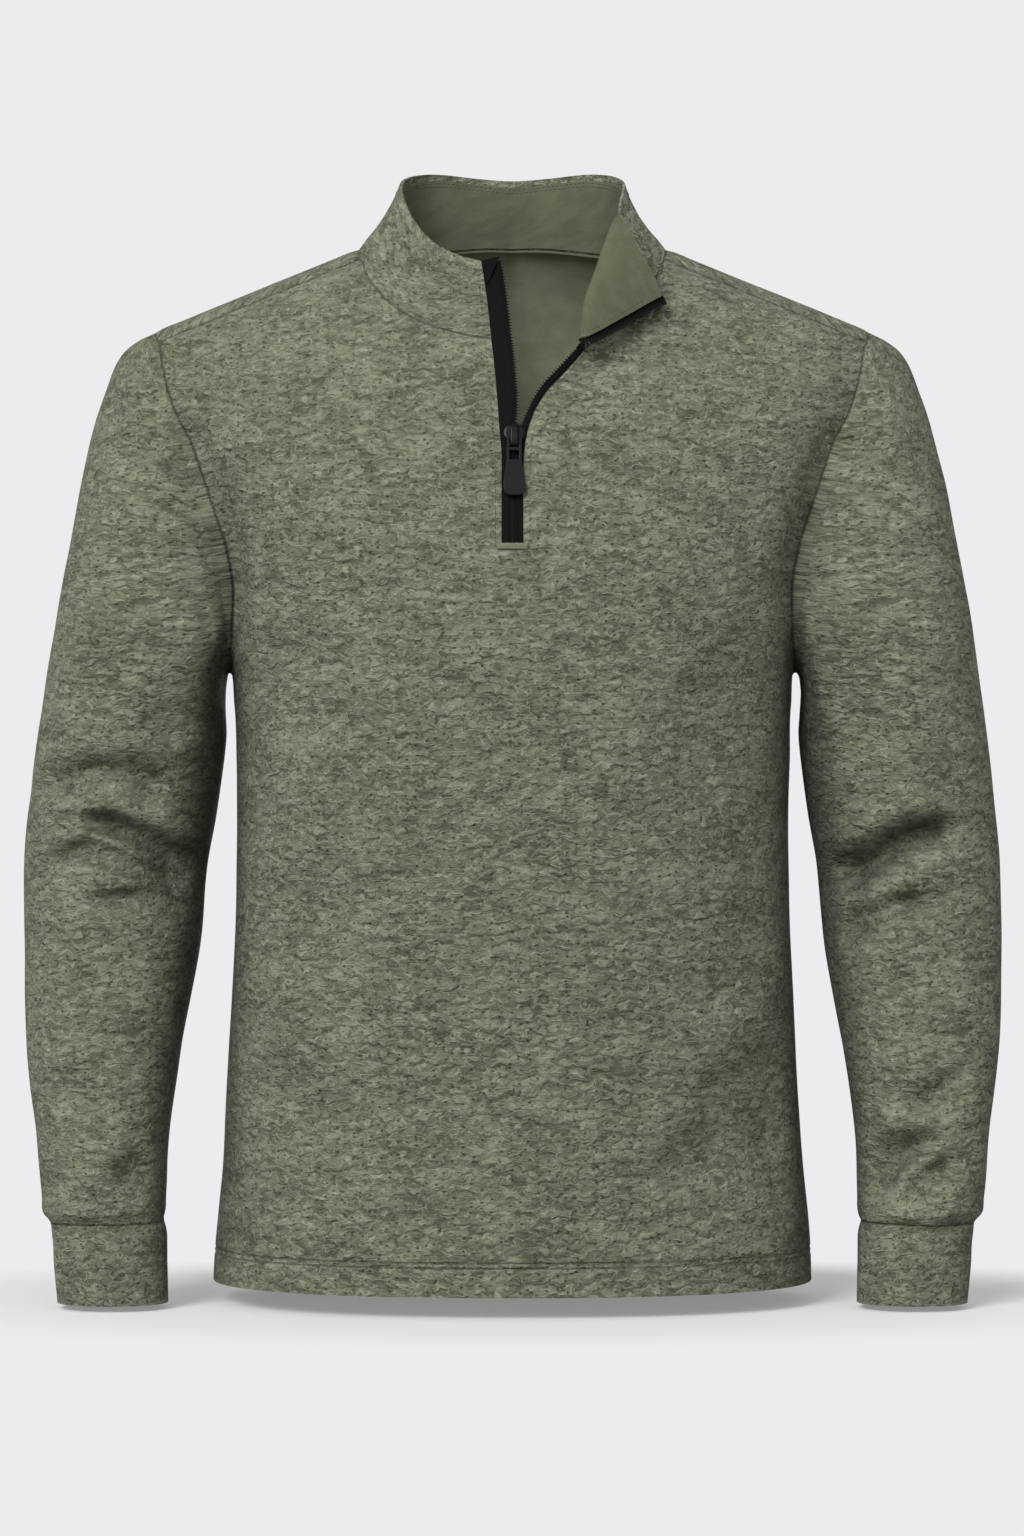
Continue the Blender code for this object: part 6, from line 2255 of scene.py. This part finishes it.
class ZipHardware:
    """Slider, pull tab and welt. Outlines are in millimetres round the slider's middle.

    Attributes:
        level_reach: How far up and down the cloth's slope is taken at the slider.
        tab_bevel: Width of the tab's rounded edges, and bevel_steps their faces.
        same_place: Distance under which points are one; flat_turn and edge_turn are the angles
            under which two faces are one, and past which their edge is rounded.
        evenness: How much large faces count in the shading.
        welt_grid: Rows and columns of the welt, and welt_inset how far it stays inside its node.
        welt_off: How far it stands off the cloth, and welt_rise how far its edge and crown do.
        welt_powers: How squarely the crown falls off along and across.
    """

    slider_x: float = 0.0012
    pin_z: float = -0.1337
    front_plate = (0.0009, 0.0024)
    back_plate = (-0.0040, -0.0026)
    plate_outline = (
        (-4, -7), (4, -7), (4.8, -1), (7.3, 1.5), (7.3, 6),
        (4.8, 9.6), (-4.8, 9.6), (-7.3, 6), (-7.3, 1.5), (-4.8, -1),
    )
    post_outline = ((-1.4, 2.8), (1.4, 2.8), (1.4, 9.0), (-1.4, 9.0))
    bridge_outline = (
        (9.4, 1.9), (9.2, 4.6), (6.8, 6.4), (-4.4, 6.4), (-6.8, 4.8), (-6.8, 1.9),
        (-4.6, 1.9), (-4.4, 4.3), (-3.4, 5.2), (5.6, 5.2), (7.0, 3.9), (7.2, 1.9),
    )
    bridge_widths = (
        (-0.0024, 0.00035), (-0.0021, 0.00008), (-0.0016, 0.0),
        (0.0016, 0.0), (0.0021, 0.00008), (0.0024, 0.00035),
    )
    dome = ((0.0005, 0.0), (0.0001, 0.15), (0.0, 0.40), (0.0003, 0.72), (0.0010, 0.92), (0.0022, 1.0))
    tab_bevel: float = 0.00034
    bevel_steps: int = 3
    same_place: float = 0.00001
    flat_turn: float = 0.03
    edge_turn: float = 0.3
    evenness: int = 80
    sunk: float = 0.0003
    level_reach: float = 0.008
    plate_rounds: int = 3
    bridge_rounds: int = 2
    welt_grid = (7, 25)
    welt_inset: float = 0.0001
    welt_off: float = 0.0003
    welt_rise = (0.0003, 0.0010)
    welt_powers = (6, 16)
    welt_thick: float = 0.0008

    def __init__(self, wardrobe: Wardrobe) -> None:
        """Keeps the finishes."""
        self.wardrobe = wardrobe

    def finished(self, work: bmesh.types.BMesh, node: str, name: str, body: Body) -> None:
        """Makes an enamelled piece of worked faces.

        Args:
            work: The faces, freed afterwards.
            node: The node that the piece stands for.
            name: The piece's name.
            body: The body that it rides on.
        """
        mesh = bpy.data.meshes.new(name)
        work.to_mesh(mesh)
        work.free()
        mesh.polygons.foreach_set("use_smooth", [True] * len(mesh.polygons))
        mesh.materials.append(self.wardrobe.enamel)
        piece = linked(name, mesh)
        piece.modifiers.new("even", "WEIGHTED_NORMAL").weight = self.evenness
        declare(piece, node, body=body)

    def make_tab(self) -> None:
        """Makes the pull tab from its node's form, with its edges rounded."""
        work = bmesh.new()
        work.from_mesh(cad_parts["zip_pull"].data)
        bmesh.ops.remove_doubles(work, verts=work.verts, dist=self.same_place)
        bmesh.ops.dissolve_limit(work, angle_limit=self.flat_turn, verts=work.verts, edges=work.edges)
        sharp = [e for e in work.edges if e.is_manifold and e.calc_face_angle() > self.edge_turn]
        rounding = {"offset": self.tab_bevel, "segments": self.bevel_steps, "profile": 0.5, "affect": "EDGES"}
        bmesh.ops.bevel(work, geom=sharp, clamp_overlap=True, **rounding)
        self.finished(work, "zip_pull", "pull_tab_body", Body.PULL_TAB)

    def cut_corners(self, outline: Sequence[tuple[float, float]], rounds: int) -> Array:
        """A closed outline in metres with its corners cut again and again until round."""
        points = np.array(outline) * MM
        for _ in range(rounds):
            after = np.roll(points, -1, axis=0)
            cuts = [points * 0.75 + after * 0.25, points * 0.25 + after * 0.75]
            points = np.stack(cuts, axis=1).reshape(-1, 2)
        return points

    def stack(
        self,
        work: bmesh.types.BMesh,
        layers: Sequence[tuple[Array, float]],
        origin: Array,
        axes: Sequence[Array],
    ) -> None:
        """Adds a closed form through layers of equal outlines.

        Args:
            work: The faces that it joins.
            layers: Flat outlines, each with its height.
            origin: The middle of the outlines.
            axes: Their two directions, and that of the heights.
        """
        first, second, third = axes
        rings = [origin + flat[:, :1] * first + flat[:, 1:] * second + third * rise for flat, rise in layers]
        points = [work.verts.new(place) for ring in rings for place in ring]
        for face in tube_faces(len(rings), len(rings[0])):
            work.faces.new([points[number] for number in face])

    def domed(self, outline: Array, low: float, high: float) -> list[tuple[Array, float]]:
        """Outlines and heights that round a plate's both rims."""
        middle = outline.mean(axis=0)
        size = np.abs(outline - middle).max(axis=0)
        parts, heights = np.array(self.dome).T
        outlines = [middle + (outline - middle) * (1 - part / size) for part in parts]
        return list(zip(outlines, low + (high - low) * heights))

    def make_slider(self) -> None:
        """Makes the slider: two rounded plates, the post between them and the bridge."""
        reach = self.level_reach
        lower, upper = (FORM.at(0.0, self.pin_z + step) for step in (-reach, reach))
        up = unit(upper - lower)
        across = np.array([1.0, 0.0, 0.0])
        out = unit(np.cross(across, up))
        origin = (lower + upper) / 2
        origin[0] = self.slider_x
        work = bmesh.new()
        outline = self.cut_corners(self.plate_outline, self.plate_rounds)
        for low, high in (self.front_plate, self.back_plate):
            self.stack(work, self.domed(outline, low, high), origin, (across, up, out))
        post = np.array(self.post_outline) * MM
        ends = (self.back_plate[1] - self.sunk, self.front_plate[0] + self.sunk)
        self.stack(work, [(post, rise) for rise in ends], origin, (across, up, out))
        side = self.cut_corners(self.bridge_outline, self.bridge_rounds)
        inward = unit(np.array(self.bridge_outline).mean(axis=0) * MM - side)
        layers = [(side + inward * shrink, aside) for aside, shrink in self.bridge_widths]
        self.stack(work, layers, origin, (up, out, across))
        bmesh.ops.recalc_face_normals(work, faces=work.faces)
        self.finished(work, "zip_slider", "slider_body", Body.GARMENT)

    def make_welt(self) -> None:
        """Makes the folded strip over the end of the zip."""
        low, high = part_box("zip_end_welt")
        ends = [(a + self.welt_inset, b - self.welt_inset) for a, b in zip(low, high)]
        rows, columns = (np.linspace(*ends[k], n) for k, n in zip((2, 0), self.welt_grid))
        grid = FORM.at(np.abs(columns)[None], np.repeat(rows[:, None], len(columns), axis=1))
        grid[..., 0] = columns
        across = (columns - columns[0]) / (columns[-1] - columns[0])
        along = (rows - rows[0]) / (rows[-1] - rows[0])
        upright, level = self.welt_powers
        crown = (1 - (2 * along[:, None] - 1) ** upright) * (1 - (2 * across[None] - 1) ** level)
        edge, middle = self.welt_rise
        grid[..., 1] -= self.welt_off
        grid[..., 1] -= edge + middle * crown
        _, wall = wall_over(grid, 0.0, self.welt_thick)
        piece = mesh_piece("zip_end_strip", wall.points, wall.faces, [self.wardrobe.welt], wall.grain)
        declare(piece, "zip_end_welt")

    def make(self) -> None:
        """Makes the slider, the pull tab and the welt."""
        self.make_slider()
        self.make_tab()
        self.make_welt()


# ---- studio
@dataclass(frozen=True)
class Sun:
    """Far light from a direction, softened by its spread in degrees."""

    name: str
    source: tuple[float, float, float]
    spread: float
    power: float
    shadows: bool = True

    def make(self) -> None:
        """Adds the light."""
        data = bpy.data.lights.new(self.name, "SUN")
        data.use_shadow = self.shadows
        data.angle = math.radians(self.spread)
        data.energy = self.power
        made = linked(self.name, data)
        made.location = self.source
        made.rotation_euler = (-Vector(self.source)).to_track_quat("-Z", "Y").to_euler()


@dataclass(frozen=True)
class Studio:
    """Camera, lights and the pale floor."""

    eye: tuple[float, float, float] = (-0.0003, -3.0, -0.346)
    lens: float = 105.3
    floor_z: float = -0.7005
    floor_reach: float = 2.2
    floor_steps: int = 96
    floor_tint: Colour = (0.80, 0.80, 0.81)
    floor_speck: Colour = (0.78, 0.78, 0.79)
    floor_light: Colour = (0.22, 0.22, 0.22)
    floor_noise: Numbers = (3.0, 2.0, 0.5)
    floor_specks: float = 0.1
    fade_ends: Numbers = (0.62, 0.98)
    pale: Colour = (0.8388, 0.8388, 0.8550)
    glow: float = 0.24
    shadow_scale: tuple[float, float, float] = (3.0, 6.0, 0.0)
    shadow_ends: Numbers = (1.0, 1.6)
    ambient: Colour = (0.42, 0.42, 0.42)
    suns: tuple[Sun, ...] = (
        Sun("key", (-0.52, -0.85, 0.66), 28.0, 2.66),
        Sun("fill", (0.5, -1.0, 0.3), 90.0, 0.60),
        Sun("back", (0.12, 1.0, 0.12), 18.0, 1.15, shadows=False),
    )

    def camera(self) -> None:
        """Sets a level camera in front of the garment."""
        data = bpy.data.cameras.new("camera")
        data.lens = self.lens
        data.sensor_width = 36.0
        made = linked("camera", data)
        made.location = self.eye
        made.rotation_euler = (math.pi / 2, 0.0, 0.0)
        bpy.context.scene.camera = made

    def floor(self) -> None:
        """Lays a pale floor under the garment that fades into the surrounding."""
        angles = np.arange(self.floor_steps) * 2 * math.pi / self.floor_steps
        reach = self.floor_reach
        rim = [(reach * math.cos(a), reach * math.sin(a), self.floor_z) for a in angles]
        nodes = Nodes("pale_floor")
        speck = nodes.noise(nodes.place(), *self.floor_noise)
        tint = nodes.mix(nodes.times(speck, self.floor_specks), self.floor_tint, self.floor_speck)
        nodes.set(Base_Color=tint, Roughness=0.95, Specular_IOR_Level=0.0)
        glow = nodes.add("Emission", {"Color": self.pale}).outputs[0]
        near = nodes.length(nodes.scaled(nodes.place(), *self.shadow_scale))
        lit = nodes.between(near, *self.shadow_ends, self.glow, 1.0)
        paper = nodes.blend(lit, nodes.shader.outputs[0], glow)
        dim = nodes.add("BsdfDiffuse", {"Color": self.floor_light}).outputs[0]
        seen = nodes.blend(nodes.add("LightPath").outputs["Is Camera Ray"], dim, paper)
        fade = nodes.between(nodes.length(nodes.place()), *(reach * share for share in self.fade_ends))
        whole = nodes.blend(fade, seen, nodes.add("BsdfTransparent").outputs[0])
        nodes.put(whole, nodes.tree.nodes["Material Output"].inputs["Surface"])
        mesh_piece("floor", np.array(rim), [list(range(len(rim)))], [nodes.material])

    def sky(self) -> None:
        """Gives an even pale surrounding that lights the cloth only softly."""
        world = bpy.data.worlds.new("surrounding")
        world.use_nodes = True
        tree = world.node_tree
        pale = tree.nodes["Background"]
        kinds = ("Background", "MixShader", "LightPath")
        soft, choice, path = (tree.nodes.new("ShaderNode" + kind) for kind in kinds)
        pale.inputs[0].default_value = (*self.pale, 1.0)
        soft.inputs[0].default_value = (*self.ambient, 1.0)
        for number, socket in enumerate((path.outputs["Is Camera Ray"], soft.outputs[0], pale.outputs[0])):
            tree.links.new(socket, choice.inputs[number])
        tree.links.new(choice.outputs[0], tree.nodes["World Output"].inputs["Surface"])
        bpy.context.scene.world = world

    def make(self) -> None:
        """Sets up the whole studio."""
        self.camera()
        self.floor()
        self.sky()
        for sun in self.suns:
            sun.make()
        bpy.context.scene.view_settings.view_transform = "Standard"


def main() -> None:
    """Builds the sweater piece by piece."""
    logging.basicConfig(level=logging.INFO, format="%(name)s: %(message)s")
    Studio().make()
    wardrobe = Wardrobe()
    garment = Garment(wardrobe)
    garment.make_panels()
    garment.make_facing()
    for side in Side:
        zip_side = ZipSide(garment, side)
        zip_side.make_tape()
        zip_side.make_teeth()
        if side is Side.LEFT:
            zip_side.make_fold()
    ZipHardware(wardrobe).make()
    Sewing(garment).make()


if __name__ == "__main__":
    main()
